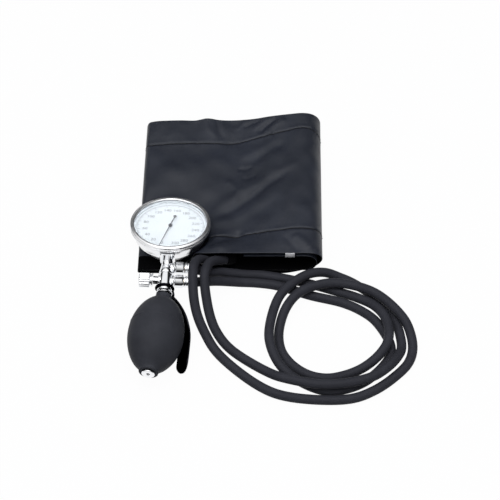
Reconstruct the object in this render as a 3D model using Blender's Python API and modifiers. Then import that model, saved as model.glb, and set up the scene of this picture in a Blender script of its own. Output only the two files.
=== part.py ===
"""Aneroid blood pressure meter with its rolled cuff, two hoses, bulb and dial.

Frame: metres, +Z up, the cuff lies on the plane z = 0 near the origin, the
palm unit points along +Y on its near left, and the hoses lie coiled at its
near right. The neck unit, the dial and the bulb each have an empty, and every
piece is modelled on its own axis and then placed under one of them.
"""
import math

import bmesh
import bpy
import numpy as np
from mathutils import Matrix, Vector

# Shared clearances
FIT_GAP = 0.0003
CUT_OVERRUN = 0.001
MERGE_DISTANCE = 0.00001

# Gauge case, bezel and glass, along the dial axis with the bezel's front at zero
BEZEL_RADIUS = 0.0340
BEZEL_FLANGE_WIDTH = 0.0020
BEZEL_LIP_WIDTH = 0.0014
BEZEL_GROOVE_WIDTH = 0.0010
BEZEL_GROOVE_DEPTH = 0.0024
BEZEL_HEIGHT = 0.0050
BEZEL_EDGE_ROUND = 0.0007
GLASS_DEPTH = 0.0012
GLASS_THICKNESS = 0.0010
DIAL_DEPTH = 0.0056
DIAL_THICKNESS = 0.0006
DIAL_MARGIN = 0.0010
DIAL_HOLE_RADIUS = 0.0012
CASE_WALL = 0.0013
CASE_FRONT_DEPTH = 0.0025
CASE_DEPTH = 0.0256
CASE_TAPER = 0.0100
CASE_CORNER_DEPTH = 0.0022
CASE_BOWL_POWER = 1.85
CASE_POST_INSET = 0.0025

# Gauge movement: pressure capsule, rocker, toothed sector, pinion and hairspring,
# each at a share of the room between the dial and the case's back
BRIDGE_DEPTH_SHARE = 0.10
HAIRSPRING_DEPTH_SHARE = 0.185
SECTOR_DEPTH_SHARE = 0.245
ROCKER_DEPTH_SHARE = 0.43
PLATE_DEPTH_SHARE = 0.515
CAPSULE_TOP_SHARE = 0.66
CAPSULE_HEIGHT_SHARE = 0.17
PLATE_MARGIN = 0.0080
PLATE_THICKNESS = 0.0010
BRIDGE_THICKNESS = 0.0010
BRIDGE_WIDTH = 0.0058
PILLAR_RADIUS = 0.0013
PILLAR_OFFSET = 0.0115
CAPSULE_X = 0.0070
CAPSULE_Y = 0.0045
CAPSULE_MARGIN = 0.0095
CAPSULE_RIPPLE = 0.0004
CAPSULE_RIPPLES = 3
CAPSULE_FOOT_RADIUS = 0.0035
CAPSULE_BORE_RADIUS = 0.0010
INLET_TUBE_RADIUS = 0.0006
PUSH_PIN_RADIUS = 0.0006
PUSH_PIN_HEAD_RADIUS = 0.0013
ROCKER_RADIUS = 0.0006
ROCKER_ARM = 0.0030
ROCKER_PADDLE = 0.0032
ROCKER_PADDLE_X = 0.0022
ROCKER_PADDLE_WIDTH = 0.0010
ROCKER_PADDLE_THICKNESS = 0.0007
SECTOR_PIVOT_Y = 0.0090
SECTOR_RADIUS = 0.0080
SECTOR_THICKNESS = 0.0008
SECTOR_TAIL = 0.0022
SECTOR_PIN_RADIUS = 0.0005
SECTOR_ARBOR_RADIUS = 0.0006
SECTOR_HUB_RADIUS = 0.0014
GEAR_MODULE = 0.0002
GEAR_TOOTH_SHARE = 0.36
GEAR_ROOT_SHARE = 0.48
GEAR_ADDENDUM_SHARE = 0.80
GEAR_DEDENDUM_SHARE = 1.20
SECTOR_TEETH = 13
PINION_THICKNESS = 0.0016
POINTER_ARBOR_RADIUS = 0.00045
POINTER_END_GAP = 0.0014
POINTER_TAIL = 0.0130
POINTER_WIDTH = 0.0012
POINTER_TIP_WIDTH = 0.0004
POINTER_THICKNESS = 0.0004
POINTER_DEPTH = 0.0033
POINTER_WEIGHT_RADIUS = 0.0014
POINTER_HUB_RADIUS = 0.0022
POINTER_HUB_HEIGHT = 0.0012
POINTER_REST_DEGREES = -15.0
HAIRSPRING_INNER_RADIUS = 0.0013
HAIRSPRING_OUTER_RADIUS = 0.0045
HAIRSPRING_WIRE_RADIUS = 0.00012
HAIRSPRING_TURNS = 3
POINTER_SWEEP_DEGREES = 330.0

# Palm unit: neck, hose connectors and release valve, along the neck axis (local Y)
UNIT_X = -0.0527
UNIT_Y = -0.1052
UNIT_TILT_DEGREES = 2.5
UNIT_YAW_DEGREES = -3.0
DIAL_REACH = 0.0335
DIAL_AXIS_Z = 0.0066
DIAL_TILT_DEGREES = -14.0
BODY_RADIUS = 0.0060
BODY_SEAT_RADIUS = 0.0050
BODY_FAR = 0.0080
STEM_RADIUS = 0.0047
STEM_FROM = 0.0135
STEM_GROOVE = 0.0005
BOSS_WIDTH = 0.0129
BOSS_HEIGHT = 0.0132
BOSS_TOP = 0.0082
BOSS_FROM = 0.0205
BOSS_ROUND = 0.0012
SPOON_RING_FROM = -0.0084
SPOON_RING_TO = -0.0072
NIPPLE_RADIUS = 0.0033
NIPPLE_FROM = -0.0150
NIPPLE_TO = -0.0250
NIPPLE_BARBS = 3
NIPPLE_BARB_SHARE = 0.80
NIPPLE_STEP_SHARE = 0.40
AIR_BORE_RADIUS = 0.0015
COLLAR_RADIUS = 0.0064
COLLAR_FLARE_RADIUS = 0.0070
COLLAR_FROM = -0.0087
CONNECTOR_UPPER_Y = 0.0131
CONNECTOR_ROOT_RADIUS = 0.0055
CONNECTOR_ROOT_NECK_RADIUS = 0.0040
CONNECTOR_ROOT_TO = 0.0070
HOSE_NUT_FLATS = 0.0100
HOSE_NUT_LENGTH = 0.0080
HOSE_NUT_BORE_RADIUS = 0.0030
FERRULE_RADIUS = 0.0049
FERRULE_TO = 0.0220
FERRULE_WALL = 0.0006
HOSE_TAIL_RADIUS = 0.0026
HOSE_TAIL_END = 0.0167
GLAND_FROM = 0.0056
GLAND_TO = 0.0100
GLAND_RADIUS = 0.0036
SPINDLE_RADIUS = 0.0016
SPINDLE_FROM = 0.0019
SPINDLE_TO = 0.0180
SPINDLE_TIP_RADIUS = 0.0007
KNOB_FLANGE_RADIUS = 0.0057
KNOB_RADIUS = 0.0063
KNOB_FROM = 0.0103
KNOB_GRIP_FROM = 0.0125
KNOB_TO = 0.0220
KNOB_GROOVES = 20
KNOB_GROOVE_DEPTH = 0.0004
KNOB_CHAMFER = 0.0008
KNOB_GROOVE_SHARES = (-0.35, 0.1, 0.32)

# Bulb, its end valve and the spoon lever, along the bulb axis from its throat
BULB_YAW_DEGREES = -5.0
BULB_TILT_DEGREES = -1.0
BULB_RADIUS = 0.0230
BULB_FRONT_SHARE = 0.5258
BULB_THROAT_LENGTH = 0.0027
BULB_END_LENGTH = 0.0014
BULB_THROAT_RADIUS = 0.0068
BULB_END_RADIUS = 0.0080
BULB_LIP_LENGTH = 0.0035
BULB_LENGTH = 0.0755
BULB_WALL = 0.0024
BULB_THROAT_BORE_RADIUS = 0.0046
BULB_RIDGE_HEIGHT = 0.0003
BULB_RIDGE_SHARE = 0.41
END_SHANK_RADIUS = 0.0037
END_SHANK_LENGTH = 0.0090
END_FLANGE_RADIUS = 0.0054
END_FLANGE_THICKNESS = 0.0014
END_HOLE_RADIUS = 0.0013
CHECK_CHAMBER_RADIUS = 0.0026
CHECK_DISC_THICKNESS = 0.0008
CHECK_DISC_TRAVEL = 0.0006
SPOON_THICKNESS = 0.0012
SPOON_HALF_WIDTH = 0.0098
SPOON_ROOT_HALF_WIDTH = 0.0042
SPOON_ROOT_RADIUS = 0.0087
SPOON_BULB_REACH = 0.0024
SPOON_LENGTH_SHARE = 0.861
SPOON_RISE_SHARE = 0.9824
SPOON_RISE_POWER = 0.90
SPOON_SINK_SHARE = 0.65
SPOON_SINK_RATIO = 1.2
SPOON_WIDEN_SHARE = 0.30
SPOON_TIP_LEAST_SHARE = 0.03
SPOON_SIDE_DEGREES = -33.0

# Cuff: a strip rolled one and a half turns, lying flat, its free end underneath
CUFF_LEFT = -0.0780
CUFF_RIGHT = 0.0800
CUFF_NEAR = -0.0790
CUFF_FAR = 0.0780
CUFF_HEIGHT = 0.0287
CUFF_LAP_X = 0.0120
CLOTH_THICKNESS = 0.0005
LAYER_GAP = 0.0003
BLADDER_THICKNESS = 0.0009
BLADDER_MARGIN = 0.0240
BLADDER_LEFT = -0.0120
WRAP_PITCH = 0.0044
CUFF_CASE_GAP = 0.0012
CUFF_REACH_SHARE = 0.45
FOLD_POWER = 0.9
CUFF_COLUMNS = (4, 6, 10, 6, 15, 7, 4)
PATCH_THICKNESS = 0.0007
PATCH_LEFT = 0.0180
PATCH_RIGHT = 0.0600
PATCH_MARGIN = 0.0160
TAG_WIDTH = 0.0080
TAG_DROP = 0.0050
TAG_X = 0.0510
TAG_THICKNESS = 0.0005
PORT_RADIUS = 0.0046
PORT_LENGTH = 0.0090
PORT_FLANGE_THICKNESS = 0.0012
PORT_BORE_RADIUS = 0.0020

# Where the cuff's cloth is measured: places across it and along its seams, and
# the height of its top there, as shares of the cuff's width, depth and height
CUFF_X_SHARES = (0.0, 0.06, 0.14, 0.22, 0.30, 0.36, 0.43, 0.52, 0.61, 0.72, 0.83, 0.92, 1.0)
CUFF_ROW_SHARES = (0.0, 0.045, 0.16, 0.225, 0.293, 0.37, 0.47, 0.62, 0.83, 0.955, 1.0)
CUFF_TOP_SHARES = (
    (0.17, 0.17, 0.20, 0.30, 0.96, 1.00, 1.00, 1.00, 1.00, 1.00, 1.00, 1.00, 0.94),
    (0.18, 0.19, 0.22, 0.28, 0.84, 0.97, 0.98, 0.96, 0.98, 1.00, 1.02, 1.03, 0.94),
    (0.24, 0.26, 0.28, 0.30, 0.40, 0.62, 0.72, 0.70, 0.80, 0.94, 1.05, 1.06, 0.90),
    (0.28, 0.30, 0.31, 0.32, 0.40, 0.56, 0.66, 0.68, 0.78, 0.93, 1.05, 1.065, 0.91),
    (0.32, 0.34, 0.34, 0.34, 0.40, 0.50, 0.62, 0.66, 0.76, 0.92, 1.05, 1.07, 0.92),
    (0.40, 0.44, 0.44, 0.44, 0.46, 0.54, 0.63, 0.67, 0.76, 0.90, 1.03, 1.06, 0.94),
    (0.46, 0.52, 0.54, 0.54, 0.54, 0.58, 0.64, 0.68, 0.75, 0.88, 1.00, 1.05, 0.95),
    (0.48, 0.56, 0.60, 0.62, 0.63, 0.64, 0.66, 0.66, 0.72, 0.84, 0.96, 1.02, 0.94),
    (0.46, 0.55, 0.58, 0.58, 0.59, 0.60, 0.60, 0.60, 0.68, 0.80, 0.93, 0.97, 0.90),
    (0.42, 0.52, 0.57, 0.61, 0.70, 0.66, 0.63, 0.65, 0.70, 0.84, 0.95, 0.98, 0.86),
    (0.40, 0.50, 0.56, 0.62, 0.75, 0.67, 0.64, 0.66, 0.70, 0.84, 0.96, 0.98, 0.84),
)

# Hoses: outer size, and the two routes as points in millimetres in this frame
HOSE_RADIUS = 0.0040
HOSE_POINT_SPACING = 0.0160
HOSE_LEAST_GAP = 0.0004
ROUTE_UNIT = 0.001

# Hand-chosen points of the upper hose, from its ferrule to its port in the cuff
UPPER_ROUTE = (
    (-25.0, -93.3, 23.5), (-17.0, -91.2, 17.7), (-7.0, -86.4, 11.6), (13.0, -83.8, 5.0),
    (28.0, -84.0, 4.1),
    (61.0, -91.2, 4.1), (94.0, -102.5, 4.3), (108.0, -109.5, 6.2), (120.0, -119.0, 9.6),
    (128.0, -131.0, 12.2),
    (131.6, -146.0, 12.9), (129.5, -160.0, 12.9), (121.0, -171.8, 10.5), (108.5, -180.0, 6.0),
    (94.0, -185.6, 4.1), (80.0, -188.3, 4.1), (66.0, -185.5, 4.1), (53.0, -176.5, 4.1),
    (44.0, -163.5, 4.1),
    (41.2, -149.0, 4.2), (42.8, -135.0, 6.8), (48.3, -121.0, 10.8), (58.0, -109.0, 12.8),
    (72.0, -101.5, 12.9),
    (90.0, -98.6, 12.9), (121.0, -108.5, 12.9), (143.8, -133.0, 11.5), (149.6, -146.0, 7.6),
    (151.0, -160.0, 4.3),
    (147.0, -173.0, 4.1), (137.0, -185.0, 4.1), (118.0, -200.0, 4.1), (97.0, -208.3, 4.1),
    (48.0, -206.0, 4.1), (26.0, -196.5, 4.1),
    (-9.0, -164.5, 5.2), (-19.5, -148.5, 10.8), (-26.0, -135.5, 19.4), (-29.0, -122.5, 29.0),
    (-29.2, -99.5, 36.6), (-26.0, -89.4, 32.4), (-19.6, -80.8, 20.8),
)
# Hand-chosen points of the lower hose, from its ferrule to its port in the cuff
LOWER_ROUTE = (
    (-23.0, -104.6, 22.6), (-10.0, -98.8, 15.6), (9.0, -93.2, 6.4), (23.0, -92.4, 4.3),
    (40.0, -95.0, 4.1),
    (68.0, -105.2, 4.1), (95.0, -113.0, 4.1), (110.0, -121.0, 4.1), (122.0, -132.0, 4.1),
    (133.2, -157.0, 4.1),
    (130.5, -170.0, 4.1), (108.0, -193.2, 4.1), (79.0, -200.4, 4.1), (53.0, -188.5, 5.4),
    (41.7, -178.0, 8.8),
    (34.8, -163.5, 12.0), (33.2, -147.0, 12.9), (42.0, -112.5, 12.9), (54.5, -97.5, 12.9),
    (68.0, -88.8, 12.7),
    (81.0, -85.0, 9.2), (93.5, -87.0, 4.9), (105.0, -92.8, 4.1), (128.5, -113.5, 4.1),
    (137.0, -127.5, 4.1),
    (141.9, -158.0, 6.1), (137.8, -171.2, 10.4), (128.0, -184.0, 12.8), (114.0, -193.5, 13.0),
    (80.0, -200.0, 13.1), (46.0, -193.0, 11.4), (31.0, -183.5, 6.8), (1.0, -159.5, 4.5),
    (-9.5, -146.5, 8.2),
    (-15.5, -134.0, 15.4), (-20.2, -108.8, 30.8), (-19.2, -98.5, 32.0), (-15.6, -89.0, 28.8),
    (-9.6, -80.6, 20.6),
)
UPPER_PORT = (-15.2, -75.5, 14.2)
LOWER_PORT = (-3.0, -75.5, 14.8)

COLLECTION = "aneroid_sphygmomanometer"
CUTTERS = "aneroid_sphygmomanometer_cutters"
ALONG_X = (0.0, math.pi / 2, 0.0)
ALONG_MINUS_X = (0.0, -math.pi / 2, 0.0)
ALONG_Y = (-math.pi / 2, 0.0, 0.0)
ALONG_MINUS_Y = (math.pi / 2, 0.0, 0.0)

FINE_STEPS = 32
ROUND_STEPS = 24
SMALL_STEPS = 12
PIN_STEPS = 8

CHROME = ((0.62, 0.62, 0.64), 0.12, 1.0)
STEEL = ((0.48, 0.48, 0.50), 0.30, 1.0)
BRASS = ((0.72, 0.55, 0.28), 0.32, 1.0)
BLACK_ENAMEL = ((0.012, 0.012, 0.016), 0.22, 0.0)
RUBBER = ((0.028, 0.028, 0.036), 0.48, 0.0)
NYLON = ((0.022, 0.023, 0.034), 0.78, 0.0)
WHITE_DIAL = ((0.80, 0.80, 0.79), 0.55, 0.0)
GLASS = ((0.85, 0.88, 0.90), 0.05, 0.0)
TAG_WHITE = ((0.75, 0.75, 0.73), 0.80, 0.0)


def clear_scene():
    """Start from an empty scene and two collections, for the parts and for the cutters."""
    for item in list(bpy.data.objects):
        bpy.data.objects.remove(item, do_unlink=True)
    for name in (COLLECTION, CUTTERS):
        bpy.context.scene.collection.children.link(bpy.data.collections.new(name))


def make_material(name, finish):
    """A plain material of its own for each sub-part."""
    colour, roughness, metallic = finish
    material = bpy.data.materials.new(name)
    material.use_nodes = True
    shader = material.node_tree.nodes["Principled BSDF"]
    shader.inputs["Base Color"].default_value = (*colour, 1.0)
    shader.inputs["Roughness"].default_value = roughness
    shader.inputs["Metallic"].default_value = metallic
    return material


def place(item, parent, location=(0, 0, 0), rotation=(0, 0, 0)):
    """Put an object under its parent empty, at a place and turn in the parent's axes."""
    item.parent = parent
    item.location = location
    item.rotation_euler = rotation
    return item


def add_object(name, data, finish, parent, location=(0, 0, 0), rotation=(0, 0, 0)):
    """A named sub-part with its own material."""
    item = bpy.data.objects.new(name, data)
    bpy.data.collections[COLLECTION].objects.link(item)
    data.materials.append(make_material(name, finish))
    return place(item, parent, location, rotation)


def add_guide(name, data, parent, location=(0, 0, 0), rotation=(0, 0, 0)):
    """A hidden solid that is joined to a sub-part or cut out of it."""
    item = bpy.data.objects.new(name, data)
    bpy.data.collections[CUTTERS].objects.link(item)
    item.hide_render = True
    item.display_type = "WIRE"
    return place(item, parent, location, rotation)


def add_empty(name, parent, location, rotation=(0, 0, 0)):
    """An empty that carries the pieces on one axis."""
    item = bpy.data.objects.new(name, None)
    bpy.data.collections[COLLECTION].objects.link(item)
    return place(item, parent, location, rotation)


def profile_mesh(name, profile, closed):
    """The outline of a turned piece, as radius and height pairs in the XZ plane."""
    mesh = bpy.data.meshes.new(name)
    count = len(profile)
    edges = [(i, i + 1) for i in range(count - 1)]
    if closed:
        edges.append((count - 1, 0))
    mesh.from_pydata([(radius, 0.0, height) for radius, height in profile], edges, [])
    return mesh


def screw(item, steps):
    """Turn an outline through a full circle about its own Z."""
    modifier = item.modifiers.new("Turn", "SCREW")
    modifier.axis = "Z"
    modifier.angle = 2 * math.pi
    modifier.screw_offset = 0
    modifier.steps = steps
    modifier.render_steps = steps
    modifier.use_merge_vertices = True
    modifier.merge_threshold = MERGE_DISTANCE
    modifier.use_smooth_shade = True
    return item


def turned(name, profile, finish, parent, steps=SMALL_STEPS, closed=False, location=(0, 0, 0),
           rotation=(0, 0, 0)):
    """A turned sub-part; the profile runs from its top down its outer side."""
    return screw(add_object(name, profile_mesh(name, profile, closed), finish, parent, location,
                            rotation), steps)


def turned_guide(name, profile, parent, steps=SMALL_STEPS, closed=False, location=(0, 0, 0),
                 rotation=(0, 0, 0)):
    """A turned solid for a cut or a join."""
    return screw(add_guide(name, profile_mesh(name, profile, closed), parent, location, rotation), steps)


def rod_profile(radius, low, high):
    """Outline of a plain round rod between two heights."""
    return [(0, high), (radius, high), (radius, low), (0, low)]


def ring_profile(inner, outer, low, high):
    """Outline of a plain ring."""
    return [(inner, high), (outer, high), (outer, low), (inner, low)]


def box_mesh(name, low, high):
    """A box between two corners."""
    mesh = bpy.data.meshes.new(name)
    bm = bmesh.new()
    bmesh.ops.create_cube(bm, size=1.0)
    size = Vector(high) - Vector(low)
    middle = (Vector(high) + Vector(low)) / 2
    bmesh.ops.transform(bm, matrix=Matrix.Translation(middle) @ Matrix.Diagonal((*size, 1.0)),
                        verts=bm.verts)
    bm.to_mesh(mesh)
    bm.free()
    return mesh


def plate_curve(name, outline, thickness):
    """A flat outline filled and extruded to a thickness, centred on its own plane."""
    curve = bpy.data.curves.new(name, "CURVE")
    curve.dimensions = "2D"
    curve.fill_mode = "BOTH"
    curve.extrude = thickness / 2
    spline = curve.splines.new("POLY")
    spline.points.add(len(outline) - 1)
    for point, (x, y) in zip(spline.points, outline):
        point.co = (x, y, 0.0, 1.0)
    spline.use_cyclic_u = True
    return curve


def tube_curve(name, points, radius, resolution):
    """A round tube with closed ends along a run of points."""
    curve = bpy.data.curves.new(name, "CURVE")
    curve.dimensions = "3D"
    curve.bevel_depth = radius
    curve.bevel_resolution = resolution
    curve.use_fill_caps = True
    spline = curve.splines.new("POLY")
    spline.points.add(len(points) - 1)
    for point, place_at in zip(spline.points, points):
        point.co = (*place_at, 1.0)
    return curve


def curve_to_mesh(curve):
    """The welded mesh of a curve, so that it can be joined or cut."""
    holder = bpy.data.objects.new(curve.name, curve)
    bpy.context.scene.collection.objects.link(holder)
    bpy.context.view_layer.update()
    evaluated = holder.evaluated_get(bpy.context.evaluated_depsgraph_get())
    mesh = bpy.data.meshes.new_from_object(evaluated)
    bm = bmesh.new()
    bm.from_mesh(mesh)
    bmesh.ops.remove_doubles(bm, verts=bm.verts, dist=MERGE_DISTANCE)
    bmesh.ops.recalc_face_normals(bm, faces=bm.faces)
    bm.to_mesh(mesh)
    bm.free()
    bpy.data.objects.remove(holder, do_unlink=True)
    return mesh


def combine(item, guide, operation):
    """Join a guide solid to a sub-part, cut it out or keep what both share."""
    modifier = item.modifiers.new(guide.name, "BOOLEAN")
    modifier.operation = operation
    modifier.solver = "EXACT"
    modifier.object = guide
    return item


# Sizes that follow from the ones above
BEZEL_CREST_RADIUS = BEZEL_RADIUS - BEZEL_FLANGE_WIDTH
BEZEL_LIP_RADIUS = BEZEL_CREST_RADIUS - BEZEL_LIP_WIDTH
BEZEL_GROOVE_RADIUS = BEZEL_RADIUS - BEZEL_GROOVE_WIDTH
CASE_BACK_RADIUS = BEZEL_CREST_RADIUS - CASE_TAPER
CASE_POST_REACH = CASE_BACK_RADIUS - CASE_POST_INSET
PLATE_RADIUS = BEZEL_CREST_RADIUS - PLATE_MARGIN
CAPSULE_RADIUS = CASE_BACK_RADIUS - CAPSULE_MARGIN
DIAL_AXIS_Y = CASE_BACK_RADIUS + DIAL_REACH
MOVEMENT_ROOM = CASE_DEPTH - DIAL_DEPTH
BRIDGE_DEPTH = DIAL_DEPTH + MOVEMENT_ROOM * BRIDGE_DEPTH_SHARE
HAIRSPRING_DEPTH = DIAL_DEPTH + MOVEMENT_ROOM * HAIRSPRING_DEPTH_SHARE
SECTOR_DEPTH = DIAL_DEPTH + MOVEMENT_ROOM * SECTOR_DEPTH_SHARE
ROCKER_DEPTH = DIAL_DEPTH + MOVEMENT_ROOM * ROCKER_DEPTH_SHARE
PLATE_DEPTH = DIAL_DEPTH + MOVEMENT_ROOM * PLATE_DEPTH_SHARE
CAPSULE_TOP_DEPTH = DIAL_DEPTH + MOVEMENT_ROOM * CAPSULE_TOP_SHARE
CAPSULE_HEIGHT = MOVEMENT_ROOM * CAPSULE_HEIGHT_SHARE
BULB_FRONT_LENGTH = BULB_LENGTH * BULB_FRONT_SHARE
BULB_FRONT_SPAN = BULB_FRONT_LENGTH - BULB_THROAT_LENGTH
BULB_BACK_SPAN = BULB_LENGTH - BULB_FRONT_LENGTH - BULB_END_LENGTH
BULB_END_FROM = BULB_LENGTH - BULB_LIP_LENGTH
BULB_RIDGE_AT = BULB_LENGTH * BULB_RIDGE_SHARE
END_SHANK_FROM = BULB_LENGTH - END_SHANK_LENGTH
SPOON_TIP_AT = BULB_LENGTH * SPOON_LENGTH_SHARE
SPOON_REACH_RADIUS = BULB_RADIUS + SPOON_BULB_REACH
DIAL_RADIUS = BEZEL_CREST_RADIUS - CASE_WALL - FIT_GAP
POINTER_LENGTH = DIAL_RADIUS - POINTER_END_GAP
CASE_FRONT_RADIUS = BEZEL_CREST_RADIUS + FIT_GAP

ROCKER_Y = SECTOR_PIVOT_Y - SECTOR_PIN_RADIUS - ROCKER_PADDLE_THICKNESS / 2 - FIT_GAP
CAPSULE_Y = ROCKER_Y - ROCKER_ARM
PINION_RADIUS = SECTOR_PIVOT_Y - SECTOR_RADIUS
PINION_TEETH = max(round(2 * PINION_RADIUS / GEAR_MODULE), 6)
GEAR_RATIO = PINION_TEETH * GEAR_MODULE / 2 / SECTOR_RADIUS
SECTOR_SWEEP = math.radians(POINTER_SWEEP_DEGREES) * GEAR_RATIO
ROCKER_SHARE = SECTOR_TAIL / ROCKER_PADDLE
ROCKER_SWEEP = SECTOR_SWEEP * ROCKER_SHARE
PLATE_TOP = -PLATE_DEPTH
FLOOR_DEPTH = CASE_DEPTH - CASE_WALL
FERRULE_FROM = CONNECTOR_ROOT_TO + HOSE_NUT_LENGTH + 2 * FIT_GAP


def case_radius(depth):
    """Outer radius of the bowl at a depth under the bezel's front."""
    corner = CASE_DEPTH - CASE_CORNER_DEPTH / 4
    share = (depth - BEZEL_HEIGHT) / (corner - BEZEL_HEIGHT)
    share = min(max(share, 0.0), 1.0)
    return CASE_BACK_RADIUS + (BEZEL_CREST_RADIUS - CASE_BACK_RADIUS) * (1 - share ** CASE_BOWL_POWER)


def bowl_profile(offset, low, high, count):
    """Radius and height pairs down the bowl, moved out by an offset."""
    depths = [low + (high - low) * i / (count - 1) for i in range(count)]
    return [(case_radius(depth) + offset, -depth) for depth in depths]


def case_outline(offset):
    """The outer side of the case, from the rim to the middle of its flat back."""
    side = bowl_profile(offset, BEZEL_HEIGHT, CASE_DEPTH - CASE_CORNER_DEPTH / 4, 9)
    back = CASE_BACK_RADIUS - CASE_CORNER_DEPTH / 2
    return side + [(back, -CASE_DEPTH - offset), (0.0, -CASE_DEPTH - offset)]


def add_case(dial):
    """The bowl with a ledge for the dial, three posts for the movement and an inlet hole."""
    ledge = DIAL_DEPTH + DIAL_THICKNESS + FIT_GAP
    ledge_radius = DIAL_RADIUS - DIAL_MARGIN
    rim = DIAL_RADIUS + FIT_GAP
    profile = [(rim, -CASE_FRONT_DEPTH), (CASE_FRONT_RADIUS, -CASE_FRONT_DEPTH)]
    profile += case_outline(0.0)
    inner = bowl_profile(-CASE_WALL, ledge + 2 * CASE_WALL, FLOOR_DEPTH, 7)
    inner[-1] = (inner[-2][0] - CASE_WALL, -FLOOR_DEPTH)
    profile += [(0.0, -FLOOR_DEPTH)] + inner[::-1]
    profile += [(ledge_radius, -ledge - CASE_WALL), (ledge_radius, -ledge), (rim, -ledge)]
    case = turned("gauge_case", profile, CHROME, dial, FINE_STEPS, closed=True)
    for index in range(3):
        angle = math.radians(90 + 120 * index)
        place_at = (CASE_POST_REACH * math.cos(angle), CASE_POST_REACH * math.sin(angle), 0)
        outline = rod_profile(PILLAR_RADIUS, -FLOOR_DEPTH - CASE_WALL / 2,
                              PLATE_TOP - PLATE_THICKNESS - FIT_GAP)
        combine(case, turned_guide(f"case_post_{index}", outline, dial, PIN_STEPS, location=place_at),
                "UNION")
    return case


def add_bezel(dial):
    """The chromed ring with two steps, snapped over the case's rim."""
    skirt = CASE_FRONT_RADIUS + FIT_GAP
    seat = GLASS_DEPTH - FIT_GAP
    round_off = BEZEL_EDGE_ROUND
    profile = [
        (BEZEL_LIP_RADIUS, -round_off / 2), (BEZEL_CREST_RADIUS - round_off, 0.0),
        (BEZEL_CREST_RADIUS, 0.0), (BEZEL_RADIUS - round_off, -round_off / 2),
        (BEZEL_RADIUS, -2 * round_off),
        (BEZEL_GROOVE_RADIUS, -BEZEL_GROOVE_DEPTH), (BEZEL_RADIUS, -BEZEL_GROOVE_DEPTH - round_off),
        (BEZEL_RADIUS, -BEZEL_HEIGHT + round_off), (BEZEL_RADIUS - round_off, -BEZEL_HEIGHT),
        (skirt, -BEZEL_HEIGHT), (skirt, -seat), (BEZEL_LIP_RADIUS, -seat),
    ]
    return turned("bezel_ring", profile, CHROME, dial, FINE_STEPS, closed=True)


def add_glass_and_dial(dial):
    """The flat glass under the bezel's lip and the dial plate on the case's ledge."""
    glass = rod_profile(CASE_FRONT_RADIUS - FIT_GAP, -GLASS_DEPTH - GLASS_THICKNESS, -GLASS_DEPTH)
    turned("lens", glass, GLASS, dial, FINE_STEPS)
    plate = ring_profile(DIAL_HOLE_RADIUS, DIAL_RADIUS, -DIAL_DEPTH - DIAL_THICKNESS, -DIAL_DEPTH)
    turned("dial_plate", plate, WHITE_DIAL, dial, FINE_STEPS, closed=True)


def tooth_outline(radius, teeth, count, inward):
    """Points of a run of trapezoid teeth about the +X direction; inward turns them to face the centre."""
    pitch = 2 * math.pi / teeth
    tip = radius + GEAR_ADDENDUM_SHARE * GEAR_MODULE * inward
    root = radius - GEAR_DEDENDUM_SHARE * GEAR_MODULE * inward
    tip_half = pitch * (2 * GEAR_TOOTH_SHARE - GEAR_ROOT_SHARE) / 2
    root_half = pitch * GEAR_ROOT_SHARE / 2
    points = []
    for index in range(count):
        middle = (index - (count - 1) / 2) * pitch
        for reach, turn in ((root, -root_half), (tip, -tip_half), (tip, tip_half), (root, root_half)):
            points.append((reach * math.cos(middle + turn), reach * math.sin(middle + turn)))
    return points


def add_sector(dial):
    """The toothed sector with its arbor and the pin that the rocker's paddle pushes."""
    pivot = add_empty("sector_pivot", dial, (0, SECTOR_PIVOT_Y, 0), (0, 0, -SECTOR_SWEEP / 2))
    teeth = round(2 * SECTOR_RADIUS / GEAR_MODULE)
    outline = [(y, -x) for x, y in tooth_outline(SECTOR_RADIUS, teeth, SECTOR_TEETH, 1)]
    hub = [(SECTOR_HUB_RADIUS * math.cos(a), SECTOR_HUB_RADIUS * math.sin(a))
           for a in (math.radians(d) for d in (15, 50, 90, 130, 165, 195))]
    tail = SECTOR_TAIL + 2 * SECTOR_PIN_RADIUS
    tail_half = 2 * SECTOR_PIN_RADIUS
    hub = [(tail, -tail_half), (tail, tail_half)] + hub
    middle = -SECTOR_DEPTH
    mesh = curve_to_mesh(plate_curve("sector_gear", outline + hub, SECTOR_THICKNESS))
    sector = add_object("sector_gear", mesh, BRASS, pivot, (0, 0, middle))
    low = PLATE_TOP - PLATE_THICKNESS + FIT_GAP
    high = -BRIDGE_DEPTH - FIT_GAP
    arbor = rod_profile(SECTOR_ARBOR_RADIUS, low, high)
    combine(sector, turned_guide("sector_arbor", arbor, pivot, PIN_STEPS), "UNION")
    pin_low = middle - SECTOR_THICKNESS / 2 - 2 * SECTOR_PIN_RADIUS
    pin = rod_profile(SECTOR_PIN_RADIUS, pin_low, middle)
    combine(sector, turned_guide("sector_pin", pin, pivot, PIN_STEPS, location=(SECTOR_TAIL, 0, 0)),
            "UNION")
    return sector


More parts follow.
